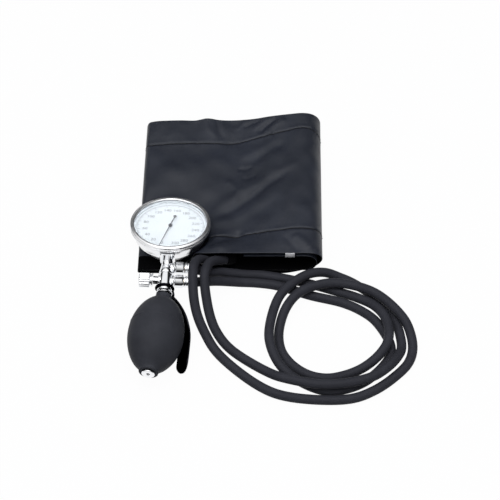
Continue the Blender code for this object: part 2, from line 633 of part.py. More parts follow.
def add_pointer(dial):
    """The pointer, its arbor with the pinion and collet, and the hairspring."""
    pivot = add_empty("pointer_pivot", dial, (0, 0, 0), (0, 0, math.radians(POINTER_SWEEP_DEGREES) / 2))
    shoulder = SECTOR_DEPTH - 2 * SECTOR_THICKNESS
    collet = HAIRSPRING_INNER_RADIUS - HAIRSPRING_WIRE_RADIUS - FIT_GAP
    half_collet = 2 * HAIRSPRING_WIRE_RADIUS
    arbor = [
        (0, -POINTER_DEPTH), (POINTER_ARBOR_RADIUS, -POINTER_DEPTH),
        (POINTER_ARBOR_RADIUS, -HAIRSPRING_DEPTH + half_collet),
        (collet, -HAIRSPRING_DEPTH + half_collet),
        (collet, -HAIRSPRING_DEPTH - half_collet), (POINTER_ARBOR_RADIUS,
                                                    -HAIRSPRING_DEPTH - half_collet),
        (POINTER_ARBOR_RADIUS, PLATE_TOP - PLATE_THICKNESS + FIT_GAP),
        (0, PLATE_TOP - PLATE_THICKNESS + FIT_GAP),
    ]
    shaft = turned("pointer_arbor", arbor, STEEL, pivot, PIN_STEPS)
    outline = tooth_outline(PINION_RADIUS, PINION_TEETH, PINION_TEETH, 1)
    turn = math.pi / 2 + math.pi / PINION_TEETH * (PINION_TEETH % 2)
    gear = curve_to_mesh(plate_curve("pinion", outline, PINION_THICKNESS))
    combine(shaft, add_guide("pinion", gear, pivot, (0, 0, -SECTOR_DEPTH), (0, 0, turn)), "UNION")
    rest = math.radians(POINTER_REST_DEGREES) - math.pi / 2
    blade_turn = rest - math.radians(POINTER_SWEEP_DEGREES) / 2
    half, tip = POINTER_WIDTH / 2, POINTER_TIP_WIDTH / 2
    blade = [(POINTER_LENGTH, -tip), (POINTER_LENGTH, tip), (0, half), (-POINTER_TAIL, half),
             (-POINTER_TAIL, -half),
             (0, -half)]
    mesh = curve_to_mesh(plate_curve("pointer", blade, POINTER_THICKNESS))
    pointer = add_object("pointer", mesh, BLACK_ENAMEL, pivot, (0, 0, -POINTER_DEPTH), (0, 0, blade_turn))
    disc = rod_profile(POINTER_WEIGHT_RADIUS, -POINTER_THICKNESS / 2, POINTER_THICKNESS / 2)
    weight = turned_guide("pointer_weight", disc, pivot, SMALL_STEPS, location=(0, 0, -POINTER_DEPTH))
    reach = POINTER_TAIL - POINTER_WEIGHT_RADIUS
    weight.location = (-reach * math.cos(blade_turn), -reach * math.sin(blade_turn), -POINTER_DEPTH)
    combine(pointer, weight, "UNION")
    hub = rod_profile(POINTER_HUB_RADIUS, -POINTER_DEPTH - POINTER_HUB_HEIGHT,
                      -POINTER_DEPTH + POINTER_THICKNESS)
    combine(pointer, turned_guide("pointer_hub", hub, pivot, SMALL_STEPS), "UNION")
    bore = rod_profile(POINTER_ARBOR_RADIUS + FIT_GAP, -DIAL_DEPTH,
                       -POINTER_DEPTH + POINTER_THICKNESS / 4)
    combine(pointer, turned_guide("pointer_bore", bore, pivot, PIN_STEPS), "DIFFERENCE")
    return pivot


def add_hairspring(dial):
    """The flat spiral spring between the arbor's collet and the bridge."""
    count = SMALL_STEPS * HAIRSPRING_TURNS
    points = []
    for index in range(count + 1):
        share = index / count
        radius = HAIRSPRING_INNER_RADIUS + (HAIRSPRING_OUTER_RADIUS - HAIRSPRING_INNER_RADIUS) * share
        angle = 2 * math.pi * HAIRSPRING_TURNS * share
        points.append((radius * math.cos(angle), radius * math.sin(angle), 0.0))
    curve = tube_curve("hairspring", points, HAIRSPRING_WIRE_RADIUS, 0)
    return add_object("hairspring", curve, STEEL, dial, (0, 0, -HAIRSPRING_DEPTH))


def add_rocker(dial):
    """The rocking shaft: one arm lies over the push pin, the paddle stands behind the sector's pin."""
    pivot = add_empty("rocker_pivot", dial, (0, ROCKER_Y, -ROCKER_DEPTH), (ROCKER_SWEEP / 2, 0, 0))
    from_x = ROCKER_PADDLE_X - ROCKER_PADDLE_WIDTH / 2
    to_x = CAPSULE_X + ROCKER_PADDLE_X + ROCKER_PADDLE_WIDTH / 2
    shaft = turned("rocker_shaft", rod_profile(ROCKER_RADIUS, from_x, to_x), BRASS, pivot, PIN_STEPS,
                   rotation=ALONG_X)
    half = ROCKER_PADDLE_WIDTH / 2
    arm_half = ROCKER_PADDLE_THICKNESS / 2
    arm = box_mesh("rocker_arm", (CAPSULE_X - half, -ROCKER_ARM - half, -arm_half),
                   (CAPSULE_X + half, 0, arm_half))
    combine(shaft, add_guide("rocker_arm", arm, pivot), "UNION")
    paddle_top = SECTOR_DEPTH + SECTOR_THICKNESS / 2 + FIT_GAP
    low = (from_x, -arm_half, 0)
    high = (from_x + ROCKER_PADDLE_WIDTH, arm_half, ROCKER_DEPTH - paddle_top)
    combine(shaft, add_guide("rocker_paddle", box_mesh("rocker_paddle", low, high), pivot), "UNION")
    return shaft


def rest_pin_top():
    """Top of the push pin under the rocker's arm with no pressure in the capsule."""
    drop = ROCKER_ARM * math.sin(ROCKER_SWEEP / 2) + ROCKER_PADDLE_THICKNESS / 2 / math.cos(ROCKER_SWEEP / 2)
    return -ROCKER_DEPTH - drop - FIT_GAP


def add_push_pin(dial):
    """The pin that carries the capsule's swelling up to the rocker."""
    foot = -CAPSULE_TOP_DEPTH + FIT_GAP
    head = foot + PUSH_PIN_RADIUS
    top = rest_pin_top()
    profile = [(0, top), (PUSH_PIN_RADIUS, top), (PUSH_PIN_RADIUS, head), (PUSH_PIN_HEAD_RADIUS, head),
               (PUSH_PIN_HEAD_RADIUS, foot), (0, foot)]
    return turned("push_pin", profile, STEEL, dial, PIN_STEPS, location=(CAPSULE_X, CAPSULE_Y, 0))


def add_capsule(dial):
    """The corrugated pressure capsule, its foot on the case's floor and the inlet tube."""
    place_at = (CAPSULE_X, CAPSULE_Y, 0)
    top, low = -CAPSULE_TOP_DEPTH, -CAPSULE_TOP_DEPTH - CAPSULE_HEIGHT
    count = 3 * CAPSULE_RIPPLES
    start, end = 2 * CAPSULE_FOOT_RADIUS / 3, CAPSULE_RADIUS - CAPSULE_HEIGHT / 4
    ripple = [
        (start + (end - start) * i / count,
         CAPSULE_RIPPLE * math.sin(2 * math.pi * i * CAPSULE_RIPPLES / count) / 2)
        for i in range(count + 1)
    ]
    upper = [(radius, top - CAPSULE_RIPPLE / 2 + lift) for radius, lift in ripple]
    lower = [(radius, low + CAPSULE_RIPPLE / 2 - lift) for radius, lift in ripple]
    middle = (top + low) / 2
    outer = [(0, top)] + upper + [(CAPSULE_RADIUS, middle)] + lower[::-1] + [(CAPSULE_BORE_RADIUS, low)]
    bore = [(CAPSULE_BORE_RADIUS, middle), (0, middle)]
    turned("capsule", outer + bore, BRASS, dial, ROUND_STEPS, location=place_at)
    floor = -FLOOR_DEPTH + FIT_GAP
    foot = ring_profile(CAPSULE_BORE_RADIUS, CAPSULE_FOOT_RADIUS, floor, low - FIT_GAP)
    turned("capsule_base", foot, BRASS, dial, SMALL_STEPS, closed=True, location=place_at)


def add_inlet_tube(dial):
    """The fine tube from the neck's bore, down the bowl's wall and along its floor to the capsule's foot."""
    low = -FLOOR_DEPTH + FIT_GAP + 1.5 * INLET_TUBE_RADIUS
    centre = Vector((CAPSULE_X, CAPSULE_Y, low))
    turn = Vector((0, -CASE_POST_REACH, low))
    stop = centre + (turn - centre).normalized() * (CAPSULE_FOOT_RADIUS + FIT_GAP)
    step = (FLOOR_DEPTH - ROCKER_DEPTH) / 4
    points = []
    for index in range(3):
        depth = ROCKER_DEPTH + index * step
        points.append((0, 2 * CASE_WALL - case_radius(depth), -depth))
    points += [(0, points[-1][1] + CASE_WALL, low + CASE_WALL), turn, (turn + stop) / 2, stop]
    curve = tube_curve("inlet_tube", points, INLET_TUBE_RADIUS, 1)
    return add_object("inlet_tube", curve, BRASS, dial)


def add_movement_frame(dial):
    """The plate with the rocker's two bearings, three pillars and the bridge."""
    low = PLATE_TOP - PLATE_THICKNESS
    plate = turned("movement_plate", rod_profile(PLATE_RADIUS, low, PLATE_TOP), BRASS, dial, ROUND_STEPS)
    lug_half = ROCKER_PADDLE_WIDTH / 2
    inner = ROCKER_PADDLE_X + 3 * lug_half
    outer = CAPSULE_X + ROCKER_PADDLE_X - lug_half
    wide = 2 * ROCKER_RADIUS + lug_half
    for index, x in enumerate((inner + lug_half, outer)):
        corner = (x - lug_half, ROCKER_Y - wide, PLATE_TOP - PLATE_THICKNESS / 2)
        far = (x + lug_half, ROCKER_Y + wide, -ROCKER_DEPTH + wide)
        combine(plate,
                add_guide(f"bearing_lug_{index}", box_mesh(f"bearing_lug_{index}", corner, far), dial),
                "UNION")
    hole = rod_profile(ROCKER_RADIUS + FIT_GAP, 0, CAPSULE_X + 2 * ROCKER_PADDLE_X)
    bearing = turned_guide("bearing_hole", hole, dial, PIN_STEPS, False, (0, ROCKER_Y, -ROCKER_DEPTH),
                           ALONG_X)
    combine(plate, bearing, "DIFFERENCE")
    holes = (("arbor_hole", 0, 0, POINTER_ARBOR_RADIUS),
             ("sector_hole", 0, SECTOR_PIVOT_Y, SECTOR_ARBOR_RADIUS),
             ("pin_hole", CAPSULE_X, CAPSULE_Y, PUSH_PIN_HEAD_RADIUS))
    for name, x, y, radius in holes:
        cut = rod_profile(radius + FIT_GAP, low - CUT_OVERRUN, PLATE_TOP + CUT_OVERRUN)
        combine(plate, turned_guide(name, cut, dial, PIN_STEPS, location=(x, y, 0)), "DIFFERENCE")
    back = -BRIDGE_DEPTH - BRIDGE_THICKNESS
    half = BRIDGE_WIDTH / 2
    span = PILLAR_OFFSET + half
    top = SECTOR_PIVOT_Y + 2 * half
    outline = [(-span, -half), (span, -half), (span, half), (half, half), (half, top), (-half, top),
               (-half, half),
               (-span, half)]
    mesh = curve_to_mesh(plate_curve("movement_bridge", outline, BRIDGE_THICKNESS))
    bridge = add_object("movement_bridge", mesh, BRASS, dial, (0, 0, (back - BRIDGE_DEPTH) / 2))
    for name, y, radius in (("bridge_hole", 0, POINTER_ARBOR_RADIUS),
                            ("pivot_hole", SECTOR_PIVOT_Y, SECTOR_ARBOR_RADIUS)):
        cut = rod_profile(radius + FIT_GAP, back - CUT_OVERRUN, -BRIDGE_DEPTH + CUT_OVERRUN)
        combine(bridge, turned_guide(name, cut, dial, PIN_STEPS, location=(0, y, 0)), "DIFFERENCE")
    pillar = rod_profile(PILLAR_RADIUS, PLATE_TOP + FIT_GAP, back - FIT_GAP)
    places = (("bridge_pillar_left", -PILLAR_OFFSET, 0), ("bridge_pillar_right", PILLAR_OFFSET, 0),
              ("bridge_pillar_far", 0, top - PILLAR_RADIUS))
    for name, x, y in places:
        turned(name, pillar, BRASS, dial, SMALL_STEPS, location=(x, y, 0))


def add_gauge(dial):
    """Everything that turns, seats or stands on the dial's axis."""
    add_case(dial)
    add_bezel(dial)
    add_glass_and_dial(dial)
    add_sector(dial)
    add_pointer(dial)
    add_hairspring(dial)
    add_rocker(dial)
    add_push_pin(dial)
    add_capsule(dial)
    add_inlet_tube(dial)
    add_movement_frame(dial)


def bulb_radius(reach):
    """Outer radius of the bulb at a distance from its throat."""
    if reach <= BULB_FRONT_LENGTH:
        share = (BULB_FRONT_LENGTH - reach) / BULB_FRONT_SPAN
        lip = BULB_THROAT_RADIUS
    else:
        share = (reach - BULB_FRONT_LENGTH) / BULB_BACK_SPAN
        lip = BULB_END_RADIUS
    round_off = math.sqrt(max(1 - share * share, 0.0))
    return max(BULB_RADIUS * round_off, lip)


def bulb_mesh_profile():
    """Outer and inner side of the rubber bulb, open at its throat and its end."""
    count = 17
    outer = [(bulb_radius(BULB_LENGTH * i / count), BULB_LENGTH * i / count) for i in range(count + 1)]
    ridge = BULB_RIDGE_AT
    crown = bulb_radius(ridge)
    rise = 2 * BULB_RIDGE_HEIGHT
    ridge_points = [(bulb_radius(ridge - rise), ridge - rise), (crown + BULB_RIDGE_HEIGHT, ridge),
                    (bulb_radius(ridge + rise), ridge + rise)]
    outer = sorted([p for p in outer if abs(p[1] - ridge) > 2 * rise] + ridge_points, key=lambda p: -p[1])
    outer[0] = (BULB_END_RADIUS - BULB_WALL / 4, BULB_LENGTH)
    inner_count = 9
    low, high = BULB_FRONT_LENGTH / 4, BULB_END_FROM - BULB_WALL
    inner = []
    for index in range(inner_count + 1):
        reach = low + (high - low) * index / inner_count
        inner.append((max(bulb_radius(reach) - BULB_WALL, BULB_THROAT_BORE_RADIUS), reach))
    end_bore = END_SHANK_RADIUS + FIT_GAP
    inner = [(BULB_THROAT_BORE_RADIUS, 0.0)] + inner + [(end_bore, BULB_END_FROM - BULB_WALL / 2),
                                                        (end_bore, BULB_LENGTH)]
    return outer + inner


def add_bulb(bulb):
    """The hollow bulb with its end valve: body, loose disc and cap."""
    turned("bulb", bulb_mesh_profile(), RUBBER, bulb, ROUND_STEPS, closed=True, rotation=ALONG_MINUS_Y)
    flange_from = BULB_LENGTH + FIT_GAP
    flange_to = flange_from + END_FLANGE_THICKNESS
    chamber_from = END_SHANK_FROM + END_FLANGE_THICKNESS
    chamber_to = chamber_from + CHECK_DISC_THICKNESS + CHECK_DISC_TRAVEL + 2 * FIT_GAP
    cap = CHECK_CHAMBER_RADIUS + FIT_GAP
    edge = END_FLANGE_THICKNESS / 4
    body = [
        (END_HOLE_RADIUS, flange_to - edge), (END_HOLE_RADIUS + edge, flange_to),
        (END_FLANGE_RADIUS - edge, flange_to),
        (END_FLANGE_RADIUS, flange_to - edge), (END_FLANGE_RADIUS, flange_from),
        (END_SHANK_RADIUS, flange_from),
        (END_SHANK_RADIUS, END_SHANK_FROM), (cap, END_SHANK_FROM),
        (cap, chamber_to), (END_HOLE_RADIUS, chamber_to),
    ]
    turned("end_valve_body", body, CHROME, bulb, ROUND_STEPS, closed=True, rotation=ALONG_MINUS_Y)
    disc_to = chamber_to - FIT_GAP
    disc = rod_profile(CHECK_CHAMBER_RADIUS, disc_to - CHECK_DISC_THICKNESS, disc_to)
    turned("end_valve_disc", disc, RUBBER, bulb, SMALL_STEPS, rotation=ALONG_MINUS_Y)
    cap_to = disc_to - CHECK_DISC_THICKNESS - CHECK_DISC_TRAVEL - FIT_GAP
    ring = ring_profile(END_HOLE_RADIUS, CHECK_CHAMBER_RADIUS, END_SHANK_FROM, cap_to)
    turned("end_valve_cap", ring, BRASS, bulb, SMALL_STEPS, closed=True, rotation=ALONG_MINUS_Y)


def throat_lean():
    """How far the leaning bulb's throat reaches past its own plane toward the neck."""
    lean = math.radians(abs(BULB_YAW_DEGREES) + abs(BULB_TILT_DEGREES))
    return BULB_THROAT_RADIUS * math.sin(lean)


def neck_profile():
    """The chromed neck from the boss down to the barbed nipple."""
    shoulder = SPOON_RING_TO + FIT_GAP
    seat_to = NIPPLE_FROM + throat_lean() + FIT_GAP
    groove = STEM_FROM
    profile = [
        (0, BOSS_FROM + BOSS_ROUND), (STEM_RADIUS, BOSS_FROM + BOSS_ROUND),
        (STEM_RADIUS, groove + 3 * STEM_GROOVE),
        (STEM_RADIUS - STEM_GROOVE, groove + 2 * STEM_GROOVE), (STEM_RADIUS - STEM_GROOVE, groove),
        (STEM_RADIUS + STEM_GROOVE, groove - STEM_GROOVE), (BODY_RADIUS, BODY_FAR),
        (BODY_RADIUS, shoulder + STEM_GROOVE),
        (BODY_RADIUS - STEM_GROOVE, shoulder), (BODY_SEAT_RADIUS, shoulder), (BODY_SEAT_RADIUS, seat_to),
    ]
    step = (NIPPLE_TO - NIPPLE_FROM) / NIPPLE_BARBS
    small = NIPPLE_RADIUS * NIPPLE_BARB_SHARE
    profile.append((small, seat_to))
    for index in range(NIPPLE_BARBS):
        start = NIPPLE_FROM + index * step
        profile += [(small, start + step * NIPPLE_STEP_SHARE),
                    (NIPPLE_RADIUS, start + step * NIPPLE_STEP_SHARE), (small, start + step)]
    profile.append((0, NIPPLE_TO))
    return profile


def add_neck(unit, dial):
    """The neck: stem, boss against the dial's case, two hose roots, release seat and air bores."""
    neck = turned("valve_body", neck_profile(), CHROME, unit, ROUND_STEPS, rotation=ALONG_Y)
    boss_to = DIAL_AXIS_Y - CASE_BACK_RADIUS
    half = BOSS_WIDTH / 2
    mesh = box_mesh("neck_boss", (-half, BOSS_FROM, BOSS_TOP - BOSS_HEIGHT), (half, boss_to, BOSS_TOP))
    boss = add_guide("neck_boss", mesh, unit)
    bevel = boss.modifiers.new("Edges", "BEVEL")
    bevel.width = BOSS_ROUND
    bevel.segments = 2
    combine(neck, boss, "UNION")
    envelope = [(CASE_FRONT_RADIUS + FIT_GAP, 0.0)] + case_outline(FIT_GAP)
    combine(neck, turned_guide("case_envelope", [(0, 0.0)] + envelope, dial, FINE_STEPS), "DIFFERENCE")
    root = [(0, CONNECTOR_ROOT_TO), (CONNECTOR_ROOT_RADIUS, CONNECTOR_ROOT_TO),
            (CONNECTOR_ROOT_RADIUS, CONNECTOR_ROOT_TO - STEM_GROOVE),
            (CONNECTOR_ROOT_NECK_RADIUS, CONNECTOR_ROOT_NECK_RADIUS),
            (CONNECTOR_ROOT_NECK_RADIUS, 0), (0, 0)]
    for name, y in (("lower_root", 0.0), ("upper_root", CONNECTOR_UPPER_Y)):
        combine(neck,
                turned_guide(name, root, unit, SMALL_STEPS, location=(0, y, 0), rotation=ALONG_X),
                "UNION")
    seat = rod_profile(SPINDLE_RADIUS + FIT_GAP, SPINDLE_FROM - FIT_GAP, BODY_RADIUS + CUT_OVERRUN)
    combine(neck, turned_guide("release_seat", seat, unit, PIN_STEPS, rotation=ALONG_MINUS_X),
            "DIFFERENCE")
    gland_seat = rod_profile(GLAND_RADIUS + FIT_GAP, GLAND_FROM - FIT_GAP, BODY_RADIUS + CUT_OVERRUN)
    combine(neck, turned_guide("gland_seat", gland_seat, unit, SMALL_STEPS, rotation=ALONG_MINUS_X),
            "DIFFERENCE")
    bore = rod_profile(AIR_BORE_RADIUS, NIPPLE_TO - CUT_OVERRUN, CONNECTOR_UPPER_Y)
    combine(neck, turned_guide("air_bore", bore, unit, PIN_STEPS, rotation=ALONG_Y), "DIFFERENCE")
    return neck


def add_connectors(unit):
    """Hex nut, hose tail and crimped ferrule on each of the two roots."""
    for name, y in (("lower", 0.0), ("upper", CONNECTOR_UPPER_Y)):
        at = (0, y, 0)
        mesh = bpy.data.meshes.new(f"hose_nut_{name}")
        bm = bmesh.new()
        corner = HOSE_NUT_FLATS / math.sqrt(3)
        bmesh.ops.create_cone(bm, cap_ends=True, segments=6, radius1=corner, radius2=corner,
                              depth=HOSE_NUT_LENGTH)
        bm.to_mesh(mesh)
        bm.free()
        nut_from = CONNECTOR_ROOT_TO + FIT_GAP
        middle = nut_from + HOSE_NUT_LENGTH / 2
        nut = add_object(f"hose_nut_{name}", mesh, CHROME, unit, (middle, y, 0), (0, math.pi / 2, 0))
        chamfer = corner - BOSS_ROUND / 2
        half = HOSE_NUT_LENGTH / 2
        rounded = [(0, half), (chamfer, half), (corner + BOSS_ROUND, half - BOSS_ROUND),
                   (corner + BOSS_ROUND, -half + BOSS_ROUND),
                   (chamfer, -half), (0, -half)]
        shape = turned_guide(f"nut_chamfer_{name}", rounded, unit, SMALL_STEPS, False, (middle, y, 0),
                             ALONG_X)
        combine(nut, shape, "INTERSECT")
        hole = rod_profile(HOSE_NUT_BORE_RADIUS, -HOSE_NUT_LENGTH, HOSE_NUT_LENGTH)
        combine(nut,
                turned_guide(f"nut_hole_{name}", hole, unit, SMALL_STEPS, False, (middle, y, 0),
                             ALONG_X), "DIFFERENCE")
        tail = ring_profile(AIR_BORE_RADIUS, HOSE_TAIL_RADIUS, nut_from, HOSE_TAIL_END)
        turned(f"hose_tail_{name}", tail, BRASS, unit, SMALL_STEPS, True, at, ALONG_X)
        ferrule = ring_profile(FERRULE_RADIUS - FERRULE_WALL, FERRULE_RADIUS, FERRULE_FROM, FERRULE_TO)
        turned(f"ferrule_{name}", ferrule, CHROME, unit, SMALL_STEPS, True, at, ALONG_X)


def grooved_outline(radius, grooves, depth):
    """A round outline with fine grooves cut along it."""
    points = []
    for index in range(grooves):
        for share, reach in zip(KNOB_GROOVE_SHARES, (radius, radius, radius - depth)):
            angle = 2 * math.pi * (index + share) / grooves
            points.append((reach * math.cos(angle), reach * math.sin(angle)))
    return points


def add_release_valve(unit):
    """Gland, spindle and grooved knob of the air release, on the side away from the hoses."""
    bore = SPINDLE_RADIUS + FIT_GAP
    gland = ring_profile(bore, GLAND_RADIUS, GLAND_FROM, GLAND_TO)
    turned("release_gland", gland, CHROME, unit, SMALL_STEPS, closed=True, rotation=ALONG_MINUS_X)
    tip = SPINDLE_FROM + SPINDLE_RADIUS
    spindle = [(0, SPINDLE_TO), (SPINDLE_RADIUS, SPINDLE_TO), (SPINDLE_RADIUS, tip),
               (SPINDLE_TIP_RADIUS, SPINDLE_FROM),
               (0, SPINDLE_FROM)]
    turned("release_spindle", spindle, STEEL, unit, PIN_STEPS, rotation=ALONG_MINUS_X)
    length = KNOB_TO - KNOB_GRIP_FROM
    outline = grooved_outline(KNOB_RADIUS, KNOB_GROOVES, KNOB_GROOVE_DEPTH)
    mesh = curve_to_mesh(plate_curve("release_knob", outline, length))
    knob = add_object("release_knob", mesh, CHROME, unit, (-KNOB_GRIP_FROM - length / 2, 0, 0),
                      ALONG_MINUS_X)
    shape = [(0, KNOB_TO), (KNOB_RADIUS - KNOB_CHAMFER, KNOB_TO),
             (KNOB_RADIUS + FIT_GAP, KNOB_TO - KNOB_CHAMFER),
             (KNOB_RADIUS + FIT_GAP, KNOB_GRIP_FROM + KNOB_CHAMFER),
             (KNOB_RADIUS - KNOB_CHAMFER, KNOB_GRIP_FROM),
             (0, KNOB_GRIP_FROM)]
    combine(knob, turned_guide("knob_shape", shape, unit, ROUND_STEPS, rotation=ALONG_MINUS_X),
            "INTERSECT")
    edge = KNOB_CHAMFER / 2
    flange = [(0, KNOB_GRIP_FROM + edge), (KNOB_FLANGE_RADIUS - KNOB_CHAMFER, KNOB_GRIP_FROM + edge),
              (KNOB_FLANGE_RADIUS - KNOB_CHAMFER, KNOB_GRIP_FROM - edge),
              (KNOB_FLANGE_RADIUS, KNOB_GRIP_FROM - 2 * edge),
              (KNOB_FLANGE_RADIUS, KNOB_FROM), (0, KNOB_FROM)]
    combine(knob, turned_guide("knob_flange", flange, unit, ROUND_STEPS, rotation=ALONG_MINUS_X), "UNION")
    hole = rod_profile(bore, KNOB_FROM - CUT_OVERRUN, SPINDLE_TO + FIT_GAP)
    combine(knob, turned_guide("knob_hole", hole, unit, PIN_STEPS, rotation=ALONG_MINUS_X), "DIFFERENCE")


def add_collar(unit):
    """The collar that holds the spoon's ring and covers the bulb's throat."""
    inner = BODY_SEAT_RADIUS + FIT_GAP
    end = NIPPLE_FROM + FIT_GAP + throat_lean()
    profile = [(inner, COLLAR_FROM), (COLLAR_RADIUS - STEM_GROOVE, COLLAR_FROM),
               (COLLAR_RADIUS, COLLAR_FROM - STEM_GROOVE),
               (COLLAR_RADIUS, COLLAR_FROM - BODY_SEAT_RADIUS / 2),
               (COLLAR_FLARE_RADIUS, end + STEM_GROOVE),
               (COLLAR_FLARE_RADIUS, end), (inner, end)]
    return turned("collar_nut", profile, CHROME, unit, ROUND_STEPS, closed=True, rotation=ALONG_Y)


def spoon_reach(along):
    """Distance of the spoon's outer face from the neck's axis, by the distance past the throat."""
    if along <= 0:
        return SPOON_ROOT_RADIUS
    share = min(along / (BULB_FRONT_LENGTH * SPOON_RISE_SHARE), 1)
    rise = math.sin(share * math.pi / 2) ** SPOON_RISE_POWER
    sink = SPOON_SINK_RATIO * SPOON_THICKNESS * max(along / SPOON_TIP_AT - SPOON_SINK_SHARE, 0)
    return SPOON_ROOT_RADIUS + (SPOON_REACH_RADIUS - SPOON_ROOT_RADIUS) * rise - sink


def spoon_half_width(along):
    """Half of the spoon's width, narrow at its root and round at its tip."""
    grow = min(max(along / (SPOON_TIP_AT * SPOON_WIDEN_SHARE), 0), 1)
    width = SPOON_ROOT_HALF_WIDTH + (SPOON_HALF_WIDTH - SPOON_ROOT_HALF_WIDTH) * math.sin(grow * math.pi / 2)
    left = SPOON_TIP_AT - along
    if left < SPOON_HALF_WIDTH:
        width *= math.sqrt(max(1 - (1 - left / SPOON_HALF_WIDTH) ** 2, SPOON_TIP_LEAST_SHARE))
    return width


def add_spoon(unit):
    """The spoon lever: a ring on the neck, an arm, and a hollow strip along the bulb's side."""
    turn = (0, math.radians(-SPOON_SIDE_DEGREES), 0)
    pivot = add_empty("spoon_pivot", unit, (0, 0, 0), turn)
    ring_middle = (SPOON_RING_FROM + SPOON_RING_TO) / 2
    rows = [(ring_middle, SPOON_ROOT_RADIUS - SPOON_THICKNESS)]
    rows += [(SPOON_RING_FROM - SPOON_THICKNESS, SPOON_ROOT_RADIUS - SPOON_THICKNESS / 2)]
    count = 16
    start = (SPOON_RING_FROM - NIPPLE_FROM) / 3
    for index in range(count + 1):
        along = -start + (SPOON_TIP_AT + start) * index / count
        rows.append((NIPPLE_FROM - along, spoon_reach(along)))
    across = 6
    vertices = []
    for y, reach in rows:
        half = spoon_half_width(NIPPLE_FROM - y) / reach
        for side in range(across + 1):
            angle = half * (2 * side / across - 1)
            vertices.append((reach * math.cos(angle), y, reach * math.sin(angle)))
    faces = []
    for row in range(len(rows) - 1):
        for side in range(across):
            first = row * (across + 1) + side
            faces.append((first, first + 1, first + across + 2, first + across + 1))
    mesh = bpy.data.meshes.new("spoon")
    mesh.from_pydata(vertices, [], faces)
    mesh.shade_smooth()
    spoon = add_object("spoon", mesh, CHROME, pivot)
    shell = spoon.modifiers.new("Sheet", "SOLIDIFY")
    shell.thickness = SPOON_THICKNESS
    shell.offset = -1
    ring = ring_profile(BODY_SEAT_RADIUS + FIT_GAP, SPOON_ROOT_RADIUS - SPOON_THICKNESS / 2,
                        SPOON_RING_FROM, SPOON_RING_TO)
    combine(spoon, turned_guide("spoon_ring", ring, pivot, ROUND_STEPS, closed=True, rotation=ALONG_Y),
            "UNION")
    return spoon


def smooth_route(points):
    """Dense points of a smooth curve through the given ones, with centripetal knots."""
    route = np.array(points, dtype=float)
    gaps = np.sqrt(np.linalg.norm(np.diff(route, axis=0), axis=1))
    knots = np.concatenate(([0.0], np.cumsum(gaps)))
    knots = np.concatenate(([-gaps[0]], knots, [knots[-1] + gaps[-1]]))
    route = np.vstack((2 * route[0] - route[1], route, 2 * route[-1] - route[-2]))
    dense = []
    for i in range(1, len(route) - 2):
        before, here, ahead, after = route[i - 1:i + 3]
        k0, k1, k2, k3 = knots[i - 1:i + 3]
        span = k2 - k1
        leave = (ahead - here) - span * ((ahead - before) / (k2 - k0) - (here - before) / (k1 - k0))
        arrive = (ahead - here) - span * ((after - here) / (k3 - k1) - (after - ahead) / (k3 - k2))
        for s in np.linspace(0.0, 1.0, 24, endpoint=False):
            cube, square = s ** 3, s ** 2
            dense.append((2 * cube - 3 * square + 1) * here + (cube - 2 * square + s) * leave
                         + (3 * square - 2 * cube) * ahead + (cube - square) * arrive)
    dense.append(route[-2])
    dense = np.array(dense)
    dense[:, 2] = np.maximum(dense[:, 2], HOSE_RADIUS)
    return dense


def even_points(dense, spacing):
    """Points at an even spacing along a dense run, with the run's length."""
    steps = np.linalg.norm(np.diff(dense, axis=0), axis=1)
    run = np.concatenate(([0.0], np.cumsum(steps)))
    count = max(round(run[-1] / spacing), 2)
    stops = np.linspace(0.0, run[-1], count + 1)
    return np.stack([np.interp(stops, run, dense[:, axis]) for axis in range(3)], axis=1), run[-1]


def least_gap(points, others, spacing, same):
    """Least free distance between two runs of a hose, or of one hose to itself."""
    distance = np.linalg.norm(points[:, None] - others[None], axis=2)
    if same:
        apart = np.abs(np.arange(len(points))[:, None] - np.arange(len(others))[None]) * spacing
        distance[apart < 6 * HOSE_RADIUS] = np.inf
    return distance.min() - 2 * HOSE_RADIUS


def add_hose(name, route, port, connector_y, unit, samples):
    """One hose: straight out of its ferrule, along its route, square onto its port."""
    frame = unit.matrix_world
    start = frame @ Vector((HOSE_TAIL_END + FIT_GAP, connector_y, 0))
    out = frame @ Vector((FERRULE_TO + HOSE_RADIUS / 4, connector_y, 0))
    free = [Vector(point) * ROUTE_UNIT for point in route]
    port_at = Vector(port) * ROUTE_UNIT
    heading = (port_at - free[-1]).normalized()
    stop = port_at - heading * FIT_GAP
    straight = stop - heading * 2 * HOSE_RADIUS
    dense = smooth_route([start, out] + free[:-1] + [straight, stop])
    points, length = even_points(dense, HOSE_POINT_SPACING)
    samples[name], _ = even_points(dense, HOSE_RADIUS / 4)
    clear = (out - start).length + HOSE_RADIUS
    points = [start, out] + [Vector(p) for p in points if (Vector(p) - start).length > clear]
    points = [p for p in points if (p - stop).length > 2 * HOSE_RADIUS] + [straight, stop]
    curve = tube_curve(name, points, HOSE_RADIUS, 3)
    add_object(name, curve, RUBBER, None)
    print(f"{name}: length {length:.4f} m, {len(points)} points")
    return port_at, heading


def add_hoses(unit):
    """Both hoses, with the measured least gaps of each to itself and to the other."""
    samples = {}
    ports = [
        add_hose("hose_upper", UPPER_ROUTE, UPPER_PORT, CONNECTOR_UPPER_Y, unit, samples),
        add_hose("hose_lower", LOWER_ROUTE, LOWER_PORT, 0.0, unit, samples),
    ]
    upper, lower = samples["hose_upper"], samples["hose_lower"]
    spacing = HOSE_RADIUS / 4
    gaps = (least_gap(upper, upper, spacing, True), least_gap(lower, lower, spacing, True),
            least_gap(upper, lower, spacing, False))
    print(f"least gaps: upper {gaps[0]:.5f} m, lower {gaps[1]:.5f} m, between {gaps[2]:.5f} m")
    print(f"every gap over {HOSE_LEAST_GAP} m: {min(gaps) > HOSE_LEAST_GAP}")
    return ports


